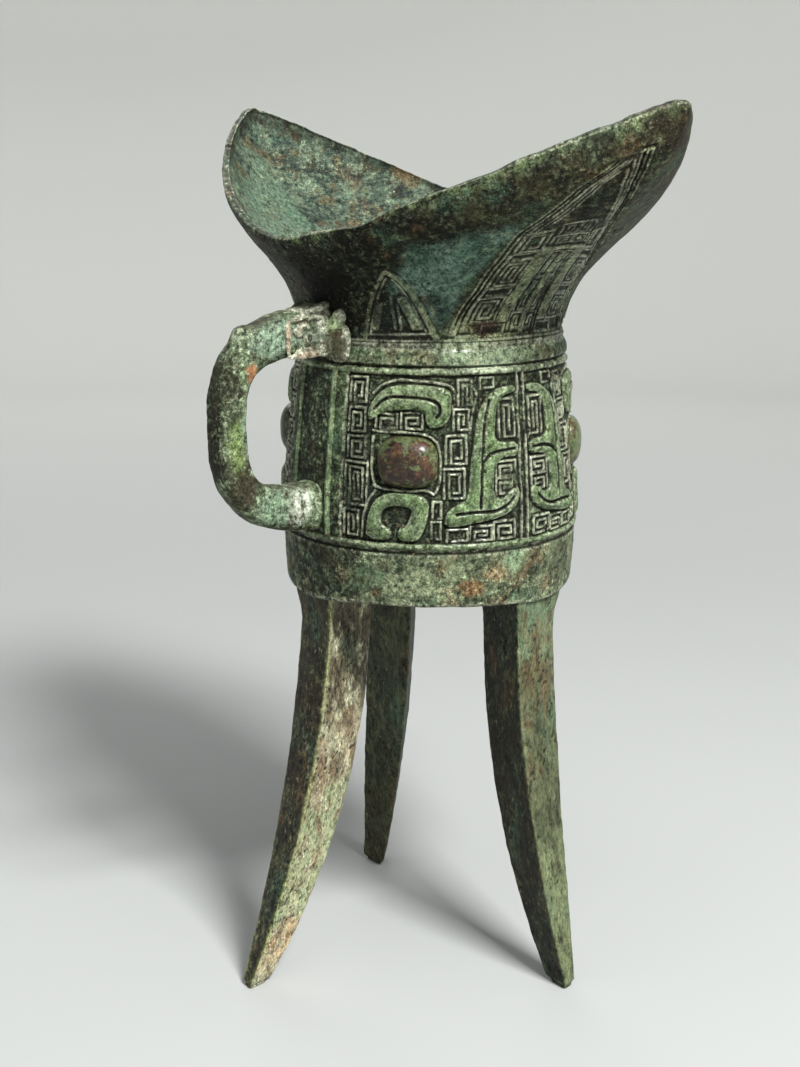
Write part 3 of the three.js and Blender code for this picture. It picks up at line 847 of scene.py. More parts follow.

# %% [markdown]
# Every piece wears the same kind of skin. Dark metal lies lowest, green patina over most of it, and
# pale bloom over that in flecks. Then comes what the geometry knows: sunk ground stays dark, raised
# bands and threads are rubbed pale, crusts are lighter, and what stands above the surface round it is
# painted pale, partly as wear and partly as painted highlight. Patches follow, each a soft ball in
# space with a ragged edge that sits in one place only, and a few of them are painted shade and painted
# highlights. Pits, dirt and specks lie on top, and the darkening in hollows is partly dirt and partly
# painted shade. Last, the colour is scaled by the noises of the fine bumps, partly as random tone and
# partly as painted shade of the bumps.

# %% The skin of the bronze
def bronze_skin(name, under, body, bloom, edge=GREEN, line=PALE, patches=(), extra=None,
                gloss=0.42, bloom_amount=0.5, contrast=1.0, sink_strength=1.0, dirt_and_shade=1.0,
                coarse=1.0, coat=0.0, teal=0.4, rust=0.35, streak=1.0):
    """under, body and bloom are the layers. edge is for bands and corners, line for threads.

    contrast, dirt_and_shade, teal and rust say how strong the mottling, the black grime with the
    painted shade in hollows, and the two zones of colour are; the mottling is partly random tone and
    partly painted shade of the fine bumps. streak below 1 draws the mottling out along the height.
    coarse is the depth of the fine roughness in millimetres, and coat is the least shine. The limits
    of the rises and the shares were matched to the photograph."""
    material, graph = new_material(name)
    place = graph.node("ShaderNodeTexCoord", {}, {}, "Object")
    drawn_out = graph.vector("MULTIPLY", place, (1.0, 1.0, streak))

    def noise(size, detail=4.0, shift=0.0, roughness=0.62):
        moved_place = graph.vector("ADD", drawn_out, (shift, -shift, shift * 0.6))
        return graph.noise(moved_place, size, detail, roughness)

    def attribute(title, output="Fac"):
        return graph.node("ShaderNodeAttribute", {"attribute_name": title}, {}, output)

    broad = noise(24.0, 3.0, 0.4)
    middle = noise(6.5, 6.0, 1.3, 0.68)
    fine = noise(1.1, 5.0, 2.2, 0.72)
    grain = noise(0.5, 3.0, 3.1, 0.72)
    crumbs = noise(1.6, 8.0, 6.6, 0.78)
    relief, hollow, crust, pit, band, thread, groove = map(
        attribute, ("relief", "hollow", "crust", "pit", "band", "thread", "groove")
    )
    cover = middle * 0.35 + broad * 0.35 + crumbs * 0.3
    teal_zone = noise(12.0, 5.0, 20.1).rise(0.52, 0.66) * crumbs.rise(0.38, 0.52)
    rust_zone = noise(9.0, 5.0, 21.3).rise(0.56, 0.66) * crumbs.rise(0.4, 0.54)
    bloomed = (fine * 0.35 + middle * 0.2 + crumbs * 0.45).rise(0.49, 0.6) * bloom_amount
    rubbed = graph.mix(noise(8.0, 3.0, 4.4).rise(0.42, 0.64) * 0.6, edge, bloom)
    sunk = ((relief * -1.0).rise(0.15, 0.4) * sink_strength).larger(groove * 0.9)
    kept_thread = noise(15.0, 3.0, 17.2).rise(0.4, 0.58) * 0.65 + 0.35
    # What stands above the surface round it is painted pale: partly rubbed wear, partly painted
    # highlight on ridges.
    bright = (hollow * -1.0).rise(0.02, 0.14) * crumbs.rise(0.4, 0.56)
    layers = extra(graph, noise, graph.split(attribute("chart", "Vector"))) if extra else []
    layers += [
        (teal_zone * teal, (66, 104, 84)),
        (rust_zone * rust, (116, 82, 56)),
        (bloomed, bloom),
        (band * (0.45 + middle.rise(0.35, 0.6) * 0.5), rubbed),
        (sunk * (0.92 - crumbs.rise(0.42, 0.6) * 0.6), BLACK),
        (thread * middle.rise(0.3, 0.5) * kept_thread * 0.8, line),
        (crust * crumbs.rise(0.45, 0.6) * 0.4, bloom),
        (bright * 0.5, line),
    ]
    for centre, radii, patch_colour, strength in patches:
        away = graph.vector("SUBTRACT", place, [(c + a) * MM for c, a in zip(centre, axis_mm)])
        away = graph.length(graph.vector("DIVIDE", away, [r * MM for r in radii]))
        ragged = away + (middle - 0.5) * 2.0 + (fine - 0.5) * 1.6
        share = (1.0 - ragged.rise(0.5, 1.1)) * (0.45 + crumbs.rise(0.36, 0.54) * 0.55)
        layers.append((share * strength, patch_colour))
    # Darker in hollows and in random spots: the spots are dirt, and the hollows are partly dirt and
    # partly painted shade.
    dirt_and_hollow_shade = (hollow.rise(0.01, 0.1) * 0.85).larger(crumbs.rise(0.47, 0.36) * 0.75)
    specks = (grain * 0.6 + fine * 0.4).rise(0.53, 0.6) * middle.rise(0.62, 0.42)
    flecks = noise(0.8, 2.0, 5.7).rise(0.62, 0.7) * broad.rise(0.4, 0.6)
    layers += [
        (pit * 0.75, BLACK), (dirt_and_hollow_shade * dirt_and_shade, BLACK), (specks * 0.6, BLACK), (flecks * 0.4, SAND),
    ]
    colour = graph.layered(graph.mix(cover.rise(0.4, 0.56), under, body), layers)
    # The colour is scaled by the noises that also make the fine bumps, darker where they are low and
    # lighter where they are high: partly random tone of the patina, partly painted shade of the bumps.
    shade = (fine - 0.5) * 3.6 + (grain - 0.5) * 4.4 + (crumbs - 0.5) * 3.4
    shade = graph.node("ShaderNodeMath", {"operation": "EXPONENT"}, {0: shade * contrast - 0.12})
    shine = (band * 0.35 + thread * 0.7 + bright * 0.5) * crumbs.rise(0.42, 0.56)
    bump_height = crumbs * 0.5 + fine * 0.3 + grain * 0.2 + noise(0.35, 2.0, 6.1) * 0.08
    bump = graph.node("ShaderNodeBump", {}, {
        "Strength": 0.95, "Distance": coarse * MM, "Height": bump_height}, "Normal")
    close_material(graph, {
        "Base Color": graph.scaled(colour, shade), "Normal": bump, "Specular IOR Level": 0.1,
        "Roughness": gloss + fine * 0.3 + bloomed * 0.15 + pit * 0.2,
        "Coat Weight": shine.larger(coat), "Coat Roughness": 0.24 + 0.12 * coat,
    })
    return material


def chart_window(chart, noise, first, second, blur=(3.0, 0.05), rag=0.5):
    """One inside a window of the chart, given as (low, high) along both of its ways."""
    ragged = (noise(5.0, 4.0, 7.7) - 0.5) * rag
    share = 1.0
    for way, (low, high), soft in zip(chart, (first, second), blur):
        way = way + ragged * soft * 4.0
        share = way.rise(low - soft, low + soft) * way.rise(high + soft, high - soft) * share
    return share


# %% [markdown]
# The mouth has colours that follow its form. Its base is darker than the cup's, partly as painted
# shade on its outside, which faces down. Outside, a smooth dark teal skin lies between the small
# triangle and the blade, the band under the rim is brown, the lip is spotted with pale green, and
# beside the handle the outside is painted nearly black as the shade the mouth casts on itself. Inside,
# the wall is paler and bluer. The cup is pale on its neck ring, with a brighter painted highlight on
# its front, and spotted below its ornament. Each function gives layers for its member, and the patches
# stand with the skins.

# %% Skins of the members
def mouth_layers(graph, noise, chart):
    _, height, inside = chart
    outside = 1.0 - inside

    def mottled(size, detail, shift, dark, light):
        return graph.mix(noise(size, detail, shift).rise(0.4, 0.6), dark, light)

    smooth_teal = chart_window(chart, noise, (-61, -33), (0.1, 0.62), (2.0, 0.04), 0.6)
    specked = noise(1.3, 5.0, 8.5).rise(0.36, 0.42)
    under_rim = chart_window(chart, noise, (-100, 100), (0.72, 0.95), (3, 0.05))
    by_handle = chart_window(chart, noise, (-100, -63), (-0.1, 1.1), (5, 0.05))
    lip = height.rise(0.9, 0.985) * noise(3.4, 6.0, 9.4, 0.7).rise(0.5, 0.58)
    inner = graph.layered(mottled(11.0, 5.0, 9.9, (62, 75, 65), (96, 111, 93)), [
        (noise(5.0, 5.0, 10.4).rise(0.52, 0.62) * 0.75, (86, 74, 50)),
        (noise(6.5, 5.0, 12.1).rise(0.52, 0.62) * 0.8, (28, 40, 40)),
        (chart_window(chart, noise, (-60, -5), (0.4, 0.8), (6, 0.08)) * 0.75, (92, 112, 93)),
    ])
    return [
        (smooth_teal * outside * (0.35 + specked * 0.63),
         mottled(7.0, 5.0, 8.2, (60, 81, 72), (100, 126, 110))),
        (under_rim * outside * 0.85, mottled(6.0, 4.0, 8.8, (32, 31, 23), (70, 66, 45))),
        # Beside the handle the outside is painted nearly black: painted shade, where the mouth shades
        # itself.
        (by_handle * outside * 0.94, (12, 13, 10)),
        (height.rise(0.97, 1.0) * 0.7, (74, 84, 62)),
        (lip * 0.65, (118, 136, 92)),
        (inside, inner),
        (inside.rise(0.02, 0.2) * inside.rise(0.98, 0.8) * 0.8, (36, 40, 30)),
    ]


def cup_layers(graph, noise, chart):
    neck = chart_window(chart, noise, (16, 70), (161.6, 175.0), (6, 0.5), 0.3)
    # A pale band on the front of the neck ring: a painted highlight.
    painted_neck_highlight = chart_window(chart, noise, (37, 60), (160.6, 175.0), (4, 0.4), 0.3)
    ring = chart_window(chart, noise, (-10, 300), (90.0, 117.0), (5, 0.8), 0.4)
    spots = noise(6.5, 7.0, 11.1, 0.68).rise(0.38, 0.6)
    moss = chart_window(chart, noise, (-12, 17), (90, 128), (6, 4))
    soot = chart_window(chart, noise, (6, 24), (112, 136), (5, 6))
    panel = chart_window(chart, noise, (-10, 6.0), (119, 160), (0.6, 0.6), 0.1)
    return [
        (neck * 0.6, (100, 112, 84)),
        (painted_neck_highlight * 0.8, (142, 160, 128)),
        (ring * 0.8, graph.mix(spots, (50, 58, 43), (124, 134, 104))),
        (ring * noise(7.0, 4.0, 11.9).rise(0.54, 0.66) * 0.45, (118, 86, 60)),
        (moss * noise(2.2, 5.0, 12.6).rise(0.4, 0.52) * 0.9, (22, 24, 17)),
        (soot * noise(1.8, 7.0, 12.9, 0.74).rise(0.4, 0.54) * 0.6, BLACK),
        (panel * 0.85, (24, 28, 20)),
    ]


def eye_layers(graph, noise, chart):
    green = (chart[0] + (noise(3.4, 4.0, 16.1) - 0.5) * 3.4).rise(0.62, 0.8)
    return [(green * 0.85, (84, 96, 62))]


# The mouth's under and body colours are darker than the cup's, partly as painted shade on its outside,
# which faces down.
mouth_skin = bronze_skin(
    "mouth_skin", (20, 23, 16), (62, 68, 51), (104, 116, 88),
    edge=(122, 130, 96), line=(170, 174, 148), extra=mouth_layers, gloss=0.34,
    bloom_amount=0.3, sink_strength=0.8, patches=[
        ((33, -9.2, 169.6), (8, 10, 4.6), (158, 166, 126), 0.9),
        ((31, -12.8, 166.3), (6, 9, 2.4), (156, 170, 136), 0.8),
        ((33, -9.6, 170), (4.2, 4.6, 2.6), (62, 38, 20), 1),
        # A near-black patch beside the handle's head: painted shade, where the mouth shades itself.
        ((18.6, -30.2, 173.2), (6.5, 6.5, 8), (12, 13, 9), 0.85),
        ((-46, 29, 203.5), (13, 4, 3), (132, 104, 66), 0.6),
        ((82, -2, 217), (9, 9, 8), (46, 38, 26), 0.7),
        # The next two dark patches above the handle's head are painted shade, where the mouth shades
        # itself.
        ((5, -36.9, 179), (15, 9, 12), (5, 5, 4), 1),
        ((4, -41.5, 186), (13, 7, 8), (24, 25, 19), 0.6),
    ],
)
cup_skin = bronze_skin(
    "cup_skin", (34, 40, 29), (72, 86, 60), (136, 150, 118),
    edge=(98, 120, 78), line=(160, 164, 140), extra=cup_layers, gloss=0.34,
    bloom_amount=0.4, patches=[
        ((24.9, -24.7, 155), (8, 8, 3), (132, 146, 110), 0.4),
        ((28, -24.5, 110), (5, 5, 4), (150, 160, 124), 0.5),
        ((36.3, -8, 111), (3, 4.5, 3.6), (160, 134, 98), 0.6),
        ((37.2, -3.1, 114.5), (3, 3.6, 4), (122, 150, 116), 0.6),
        ((34.3, 14.4, 112), (5, 7, 7), (62, 66, 46), 0.6),
        ((34.2, -13.9, 108.5), (4, 5, 2.6), (148, 104, 66), 0.55),
        ((9.5, -35.8, 116), (9, 6, 5), (48, 54, 38), 0.6),
        ((17, -33, 111), (6, 6, 4), (78, 104, 78), 0.5),
        ((24.7, -28, 116), (6, 6, 2.6), (54, 60, 44), 0.5),
        ((14, -34.6, 142), (5, 5, 24), (44, 52, 40), 0.6),
        # A thin, very pale patch on the upper rail: a painted highlight.
        ((33, -8, 160.8), (5, 8, 1.3), (196, 208, 176), 0.7),
    ],
)
eye_skin = bronze_skin(
    "eye_skin", (22, 17, 12), (72, 44, 27), (70, 78, 50), line=(84, 60, 38),
    gloss=0.3, bloom_amount=0.25, contrast=0.9, dirt_and_shade=0.6, coarse=0.3, coat=0.6, rust=0,
    teal=0, extra=eye_layers, patches=[
        ((27, 28.5, 139), (7.5, 7.5, 8), (88, 102, 68), 0.9),
        ((-27, -28, 141), (7, 7, 8), (40, 46, 34), 0.8),
    ],
)
handle_skin = bronze_skin(
    "handle_skin", (58, 54, 40), (96, 110, 82), (154, 168, 140), gloss=0.42,
    bloom_amount=0.55, contrast=0.85, rust=0.3, line=(150, 156, 134), patches=[
        ((4, -49, 168), (4, 9, 5), (136, 158, 134), 0.75),
        ((2, -57, 172), (6, 9, 3), (60, 54, 40), 0.8),
        # A dark patch on the strap's outer face: painted shade, where that face turns away from the
        # lamp.
        ((-1, -62.5, 155), (8, 6.5, 12), (34, 30, 21), 0.95),
        ((5, -56.4, 160.3), (3, 2, 2.8), ORANGE, 0.8),
        ((3, -60.5, 143), (4.5, 3, 7), (112, 132, 76), 0.8),
        ((3.5, -56.5, 148), (3, 3, 9), (132, 154, 130), 0.7),
        ((3, -59, 132), (6, 5, 6), (54, 46, 34), 0.85),
        # Another dark patch on the strap's outer face: painted shade, where it turns away from the
        # lamp.
        ((-3, -64.5, 139), (6.5, 4, 14), (30, 27, 19), 0.9),
        ((-3, -59, 125), (6, 7, 3.4), (38, 34, 24), 0.8),
        ((4, -51, 127.5), (3, 6, 5), (134, 160, 130), 0.7),
        ((4.5, -42.6, 127.4), (3.6, 4.4, 4.6), (200, 206, 186), 0.75),
    ],
)
# The head is painted paler than the rest, partly as painted light, to make up for the shadow that the
# wing casts on it.
head_skin = bronze_skin(
    "head_skin", (130, 122, 100), (178, 184, 160), (214, 210, 190), gloss=0.4,
    bloom_amount=0.7, contrast=0.85, dirt_and_shade=0.6, line=(176, 178, 154), patches=[
        ((6.6, -34.6, 170.4), (2.8, 2.6, 3.4), (178, 206, 146), 0.85),
        ((7.4, -35.2, 165.2), (4.4, 3, 4.6), (84, 84, 62), 0.9),
        ((0, -38, 175.4), (7, 9, 2.2), (66, 62, 48), 0.8),
        ((5, -39, 168.2), (2.4, 3.4, 3.2), (112, 128, 108), 0.8),
        ((5, -44.6, 165.2), (2.4, 1.8, 1.6), (58, 50, 40), 0.8),
        ((5, -46.2, 168), (3, 1.4, 5), (190, 164, 140), 0.5),
        ((5, -41, 163.2), (3, 5, 1.2), (186, 160, 136), 0.5),
        ((7.8, -33.6, 168.2), (1.8, 2.2, 1.8), (112, 86, 66), 0.7),
        ((5.2, -40.2, 167.2), (1, 0.7, 0.7), (20, 18, 12), 1),
    ],
)
print("skins:", [m.name for m in bpy.data.materials if m.name.endswith("_skin")])

# %% [markdown]
# A finished piece has had its trees applied: what is kept is a plain mesh with its attributes.
# No point may leave the box of the CAD model, so the few that would are held back at its faces.
# One more attribute is worked out from the finished shape. It says how far each point lies below the
# even surface round it, so that hollows can be darkened, partly as dirt and partly as painted shade,
# and ridges made pale, partly as wear and partly as painted highlight.

# %% Finish a piece
def hollow_depth(mesh, places, rounds=8):
    """Millimetres that each point lies below its smoothed surroundings."""
    first, second = read_field(mesh.edges, "vertices", 2, np.int32).T
    count = len(places)
    shared = np.bincount(first, minlength=count) + np.bincount(second, minlength=count)
    smooth = places.copy()
    for _ in range(rounds):
        total = np.stack([
            np.bincount(first, smooth[second, k], count)
            + np.bincount(second, smooth[first, k], count)
            for k in range(3)
        ], axis=-1)
        smooth = (smooth + total / np.maximum(shared, 1)[:, None]) / 2
    return np.einsum("ij,ij->i", smooth - places, read_field(mesh.vertices, "normal")) / MM


def run_tree(piece, tree, values):
    modifier = piece.modifiers.new(tree.name, "NODES")
    modifier.node_group = tree
    for item in tree.interface.items_tree:
        if item.in_out == "INPUT" and item.name in values:
            modifier[item.identifier] = values[item.name]


def finish_piece(name, mesh, node, skin, weather, relief=None):
    """weather is the depth of dents, lumps and pits in millimetres."""
    piece = add_object(name, mesh)
    if relief:
        run_tree(piece, relief_tree, {**relief, "Material": skin})
    depths = dict(zip(("Dents", "Lumps", "Pits"), weather))
    run_tree(piece, weather_tree, {**depths, "Material": skin})
    evaluated = piece.evaluated_get(bpy.context.evaluated_depsgraph_get())
    plain = bpy.data.meshes.new_from_object(evaluated)
    piece.modifiers.clear()
    piece.data = plain
    places = read_field(plain.vertices, "co")
    held = np.clip(places, np.array(cad_box[0]), np.array(cad_box[1]))
    plain.vertices.foreach_set("co", held.ravel())
    plain.update()
    hollow = hollow_depth(plain, held)
    # Two halves with relief meet near x = 0, and their borders there aren't hollows.
    if relief:
        hollow = hollow * smoothstep(np.abs(held[:, 0]) / MM, 0.15, 1.0)
    add_attribute(plain, "hollow", hollow)
    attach(piece, "root")
    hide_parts(node)
    moved_back = int((np.abs(held - places).max(axis=1) > 1e-7).sum())
    print(f"{name}: {len(plain.polygons)} faces, {moved_back} points held in the box")


# %% [markdown]
# The cup's wall is turned about the axis. Its profile is a smooth curve through four measured
# radii, over a bottom that sinks only three millimetres. Its edge dips a little where the metal
# flowed into a leg, so the legs' table stands here. A low ring stands round the neck. Two
# grooves frame the ornament. The wall between them is left a little lower here, since the relief
# lies over it as two curved slabs that meet under the handle and opposite it, where nothing is
# drawn across.

# %% The cup's body
FOOT_RADIUS, BOTTOM_DEPTH, CUP_WALL = 36.9, 3.0, 2.6
LEG_DIP, DIP_SHARPNESS, RING_BULGE, GROOVE_DEPTH = 1.6, 14, 0.6, 0.5
SLAB_BED, SLAB_BACK = 1.9, 1.5
CHART_RADIUS = 37.5
# Each leg's place round the cup in degrees, how far its foot is splayed, and the width of its
# root and of its foot.
LEGS = {
    "leg_under_handle": (-94.0, 3.9, 15.6, 4.4),
    "leg_right": (13.5, -4.5, 17.0, 4.6),
    "leg_left": (159.1, 0.7, 15.6, 7.4),
}
WALL_POINTS = [(36.9, 0.0), (37.7, 21.0), (35.6, 47.0), (33.5, 61.5)]
LOW_GROOVE, HIGH_GROOVE = wall_foot + 13.2, wall_foot + 57.0
wall_curve = catmull(WALL_POINTS, 40)
ROUND = 480


def wall_radius(height):
    return np.interp(height - wall_foot, wall_curve[:, 1], wall_curve[:, 0])


def wall_normal(height):
    lean = wall_radius(height + 0.5) - wall_radius(height - 0.5)
    return unit(np.stack([np.ones_like(lean), -lean], axis=-1))


def frame_groove(height):
    gap = np.minimum(np.abs(height - LOW_GROOVE), np.abs(height - HIGH_GROOVE))
    return -GROOVE_DEPTH * (1 - smoothstep(gap, 0.1, 0.7))


def bottom_profile(radius, depth, count):
    angle = np.linspace(0.02, math.pi / 2, 400)
    curve = np.stack([radius * np.sin(angle), wall_foot - depth * np.cos(angle)], axis=-1)
    return evenly_spaced(curve, count)[0]


def turned(profile, normals, azimuths):
    """Spins a profile of (radius, height) rows, and its normals, about the axis."""
    def spun(rows):
        out, level = rows[:, :1], np.broadcast_to(rows[:, 1:], (len(rows), len(azimuths)))
        return np.stack([out * np.cos(azimuths), out * np.sin(azimuths), level], axis=-1)
    return spun(profile), spun(normals)


def wall_rows(low, high, count, inset=0.0):
    heights = np.linspace(low, high, count)
    radii = wall_radius(heights) - inset
    return np.stack([radii, heights], axis=-1), wall_normal(heights)


def cup_chart(block):
    """Millimetres from the handle's axis along the wall, and the height."""
    azimuth = np.arctan2(block[..., 1], block[..., 0])
    from_handle = np.abs((azimuth + math.pi / 2 + math.pi) % (2 * math.pi) - math.pi)
    across = from_handle * CHART_RADIUS
    return np.stack([across, block[..., 2], np.zeros_like(azimuth)], axis=-1)


azimuths = full_circle(ROUND)
bottom = bottom_profile(FOOT_RADIUS, BOTTOM_DEPTH, 46)[:-1]
bottom_out = unit(np.stack([np.gradient(bottom[:, 1]), -np.gradient(bottom[:, 0])], axis=-1))
lower_wall, lower_out = wall_rows(wall_foot, LOW_GROOVE, 34)
upper_wall, upper_out = wall_rows(HIGH_GROOVE, neck_height, 14)
sunk_wall, _ = wall_rows(LOW_GROOVE + 0.6, HIGH_GROOVE - 0.6, 4, SLAB_BED)
inner_wall, inner_out = wall_rows(neck_height, wall_foot, 50, CUP_WALL)
inner_bottom = bottom_profile(FOOT_RADIUS - CUP_WALL, BOTTOM_DEPTH - CUP_WALL, 30)[:-1][::-1]
floor_out = np.tile([0.0, 1.0], (len(inner_bottom), 1))
for rows, normals in ((lower_wall, lower_out), (upper_wall, upper_out)):
    rows += normals * frame_groove(rows[:, 1:])
bulge = np.sin(np.linspace(0.15, math.pi, len(upper_wall)))
upper_wall += upper_out * RING_BULGE * bulge[:, None]
profile = np.vstack([bottom, lower_wall, sunk_wall, upper_wall, inner_wall, inner_bottom])
normals = np.vstack([
    bottom_out, lower_out, np.zeros_like(sunk_wall), upper_out, -inner_out, floor_out
])
block, outward = turned(profile, normals, azimuths)
by_leg = sum(
    np.maximum(np.cos(azimuths - math.radians(leg[0])), 0) ** DIP_SHARPNESS
    for leg in LEGS.values()
)
wall_end = len(bottom) + len(lower_wall)
near_foot = 1 - smoothstep(profile[:, 1], wall_foot, wall_foot + 5.0)
edge = smoothstep(profile[:, 0], 30.0, FOOT_RADIUS) * near_foot
edge[wall_end:] = 0.0
block[..., 2] -= LEG_DIP * edge[:, None] * by_leg
groove_rows = np.zeros(len(profile))
groove_rows[len(bottom):wall_end] = frame_groove(lower_wall[:, 1])
relief_values = np.broadcast_to(groove_rows[:, None], block.shape[:2])
finish_piece(
    "cup_body", tube("cup_body", block, outward, cup_chart(block), relief_values),
    "cup", cup_skin, (0.3, 0.22, 0.28),
)

# %% [markdown]
# The two slabs of relief have a point every quarter of a millimetre, which is what the thinnest
# thread needs. Each is closed by a plain back that hides behind the cup's wall. The drawing of
# the cup's far side lies apart on its sheet, and a slab looks up each point on the right one.

# %% The cup's relief
ACROSS, UP = 472, 176


def wobble(across, up, size):
    """Two slow waves each way, for lines that a hand drew."""
    return (
        size * (np.sin(across * 0.9 + up * 0.37) + np.sin(up * 1.3 - across * 0.41 + 1.0)),
        size * (np.sin(across * 0.77 - up * 0.5 + 2.0) + np.sin(up * 1.1 + across * 0.6 + 4.0)),
    )


def relief_slab(name, start):
    angles = start + np.linspace(0, math.pi, ACROSS)
    rows, out = wall_rows(LOW_GROOVE, HIGH_GROOVE, UP)
    groove = frame_groove(rows[:, 1])
    rows = rows + out * groove[:, None]
    back = np.array([
        [wall_radius(height) - SLAB_BACK, height] for height in (HIGH_GROOVE, LOW_GROOVE)
    ])
    front, front_out = turned(rows, out, angles)
    behind, behind_out = turned(back, np.zeros((2, 2)), angles)
    block = np.vstack([front, behind])
    outward = np.vstack([front_out, behind_out])
    chart = cup_chart(block)
    relief_rows = np.append(groove, [0.0, 0.0])
    relief_values = np.broadcast_to(relief_rows[:, None], block.shape[:2])
    mesh = shell(name, block, outward, chart, relief_values, crisp_rows=(0, UP - 1, UP, UP + 1))
    flat = chart.reshape(-1, 3)
    is_far = flat[:, 0] > CHART_RADIUS * math.pi / 2
    folded = np.where(is_far, CHART_RADIUS * math.pi - flat[:, 0], flat[:, 0])
    shift = np.where(is_far, FAR_SIDE, 0.0)
    wander = wobble(flat[:, 0] + start, flat[:, 1], 0.04)
    spot = np.stack([
        folded + shift + wander[0], flat[:, 1] + wander[1], np.zeros(len(flat))
    ], axis=-1) * MM
    add_attribute(mesh, "spot", spot)
    finish_piece(name, mesh, "cup", cup_skin, (0.3, 0.12, 0.16), {
        **cup_drawings, "Ground depth": 0.7, "Thread height": 0.66, "Thread width": 0.24,
        "Band height": 0.3, "Band crown": 0.42, "Groove depth": 0.7, "Wear": 0.7,
    })


relief_slab("cup_relief_right", -math.pi / 2)
relief_slab("cup_relief_left", math.pi / 2)

# %% [markdown]
# The four eyes are smooth bosses, nearly square. Old brown metal still shines on the eye right
# of the handle and on the one opposite it. The other two have turned green and dark.

# %% The eyes
EYE_HALF_ACROSS, EYE_HALF_UP, EYE_POWER = 7.25, 6.2, 0.7
# The two powers of the dome's profile, how deep it starts in the wall, and how deep its skirt is.
EYE_DOME, EYE_SUNK, EYE_SKIRT = (2.3, 0.56), 1.0, 0.9
# Each eye's azimuth in degrees, how far it stands out, and how high it is above the wall's foot.
EYES = {
    "eye_handle_side_left": (-133.4, 2.0, 36.9),
    "eye_handle_side_right": (-46.6, 3.4, 34.8),
    "eye_far_side_right": (46.6, 2.0, 34.8),
    "eye_far_side_left": (133.4, 2.8, 35.5),
}


def squared(value, power):
    return np.sign(value) * np.abs(value) ** power


def eye_block(azimuth, stands, middle):
    around = full_circle(120)
    share = np.sin(np.linspace(0.02, math.pi / 2, 44))[:, None]
    side = squared(np.cos(around), EYE_POWER) * share * EYE_HALF_ACROSS
    tall = squared(np.sin(around), EYE_POWER) * share * EYE_HALF_UP
    dome = (1 - share ** EYE_DOME[0]) ** EYE_DOME[1] * np.ones_like(around)
    out = wall_radius(middle) - EYE_SUNK + dome * (stands + EYE_SUNK)
    block = np.stack([out, side, middle + tall], axis=-1)
    skirt = block[-1:].copy()
    skirt[..., 0] -= EYE_SKIRT
    block = np.vstack([block, skirt])
    return np.stack([*swung(block[..., 0], block[..., 1], azimuth), block[..., 2]], axis=-1)


def outward_of(block, centre_line):
    """Block normals, turned to point away from a line of centres, one for each row."""
    normals = block_normals(block)
    away = np.einsum("ijk,ijk->ij", normals, block - centre_line[:, None, :])
    return normals if away.sum() > 0 else -normals


for node, (degrees, stands, rise) in EYES.items():
    azimuth, middle = math.radians(degrees), wall_foot + rise
    block = eye_block(azimuth, stands, middle)
    inner = np.array([math.cos(azimuth), math.sin(azimuth), 0]) * 30
    centre = np.tile(inner + np.array([0, 0, middle]), (len(block), 1))
    chart = np.zeros_like(block)
    chart[..., 0] = np.append(np.linspace(0, 1, len(block) - 1), 1.0)[:, None]
    mesh = tube(node, block, outward_of(block, centre), chart)
    finish_piece(node + "_boss", mesh, node, eye_skin, (0.12, 0.1, 0.16))

# %% [markdown]
# The mouth is made in two halves that meet above the handle and opposite it. Each half is a
# block of rows that runs up the outside, over the crown of the lip and down the inside. The left
# wing's tip sits a little further in than the right one's, as in the photograph.

# %% The mouth
MOUTH_ACROSS, MOUTH_UP, MOUTH_DOWN = 408, 144, 70
LEFT_TIP_SHIFT, CROWN_HEIGHT = 0.8, 0.5
# Two losses in the rim, as (degrees, depth in millimetres, width in radians).
RIM_LOSSES = ((-72, 1.1, 0.07), (-104, 0.8, 0.05))
# The inside has no ornament, so it looks itself up this far from the drawing.
OFF_THE_DRAWING = 500.0


def rim_chips(angles):
    """How far the old rim is eaten down, in millimetres. Deepest just right of the handle."""
    waves = sum(
        np.sin(angles * rate + phase) for rate, phase in ((13, 0.4), (29, 2.1), (47, 4.0))
    )
    losses = sum(
        depth * np.exp(-((angles - math.radians(degrees)) / width) ** 2)
        for degrees, depth, width in RIM_LOSSES
    )
    return 0.12 + 0.1 * np.maximum(waves, -1.2) + losses


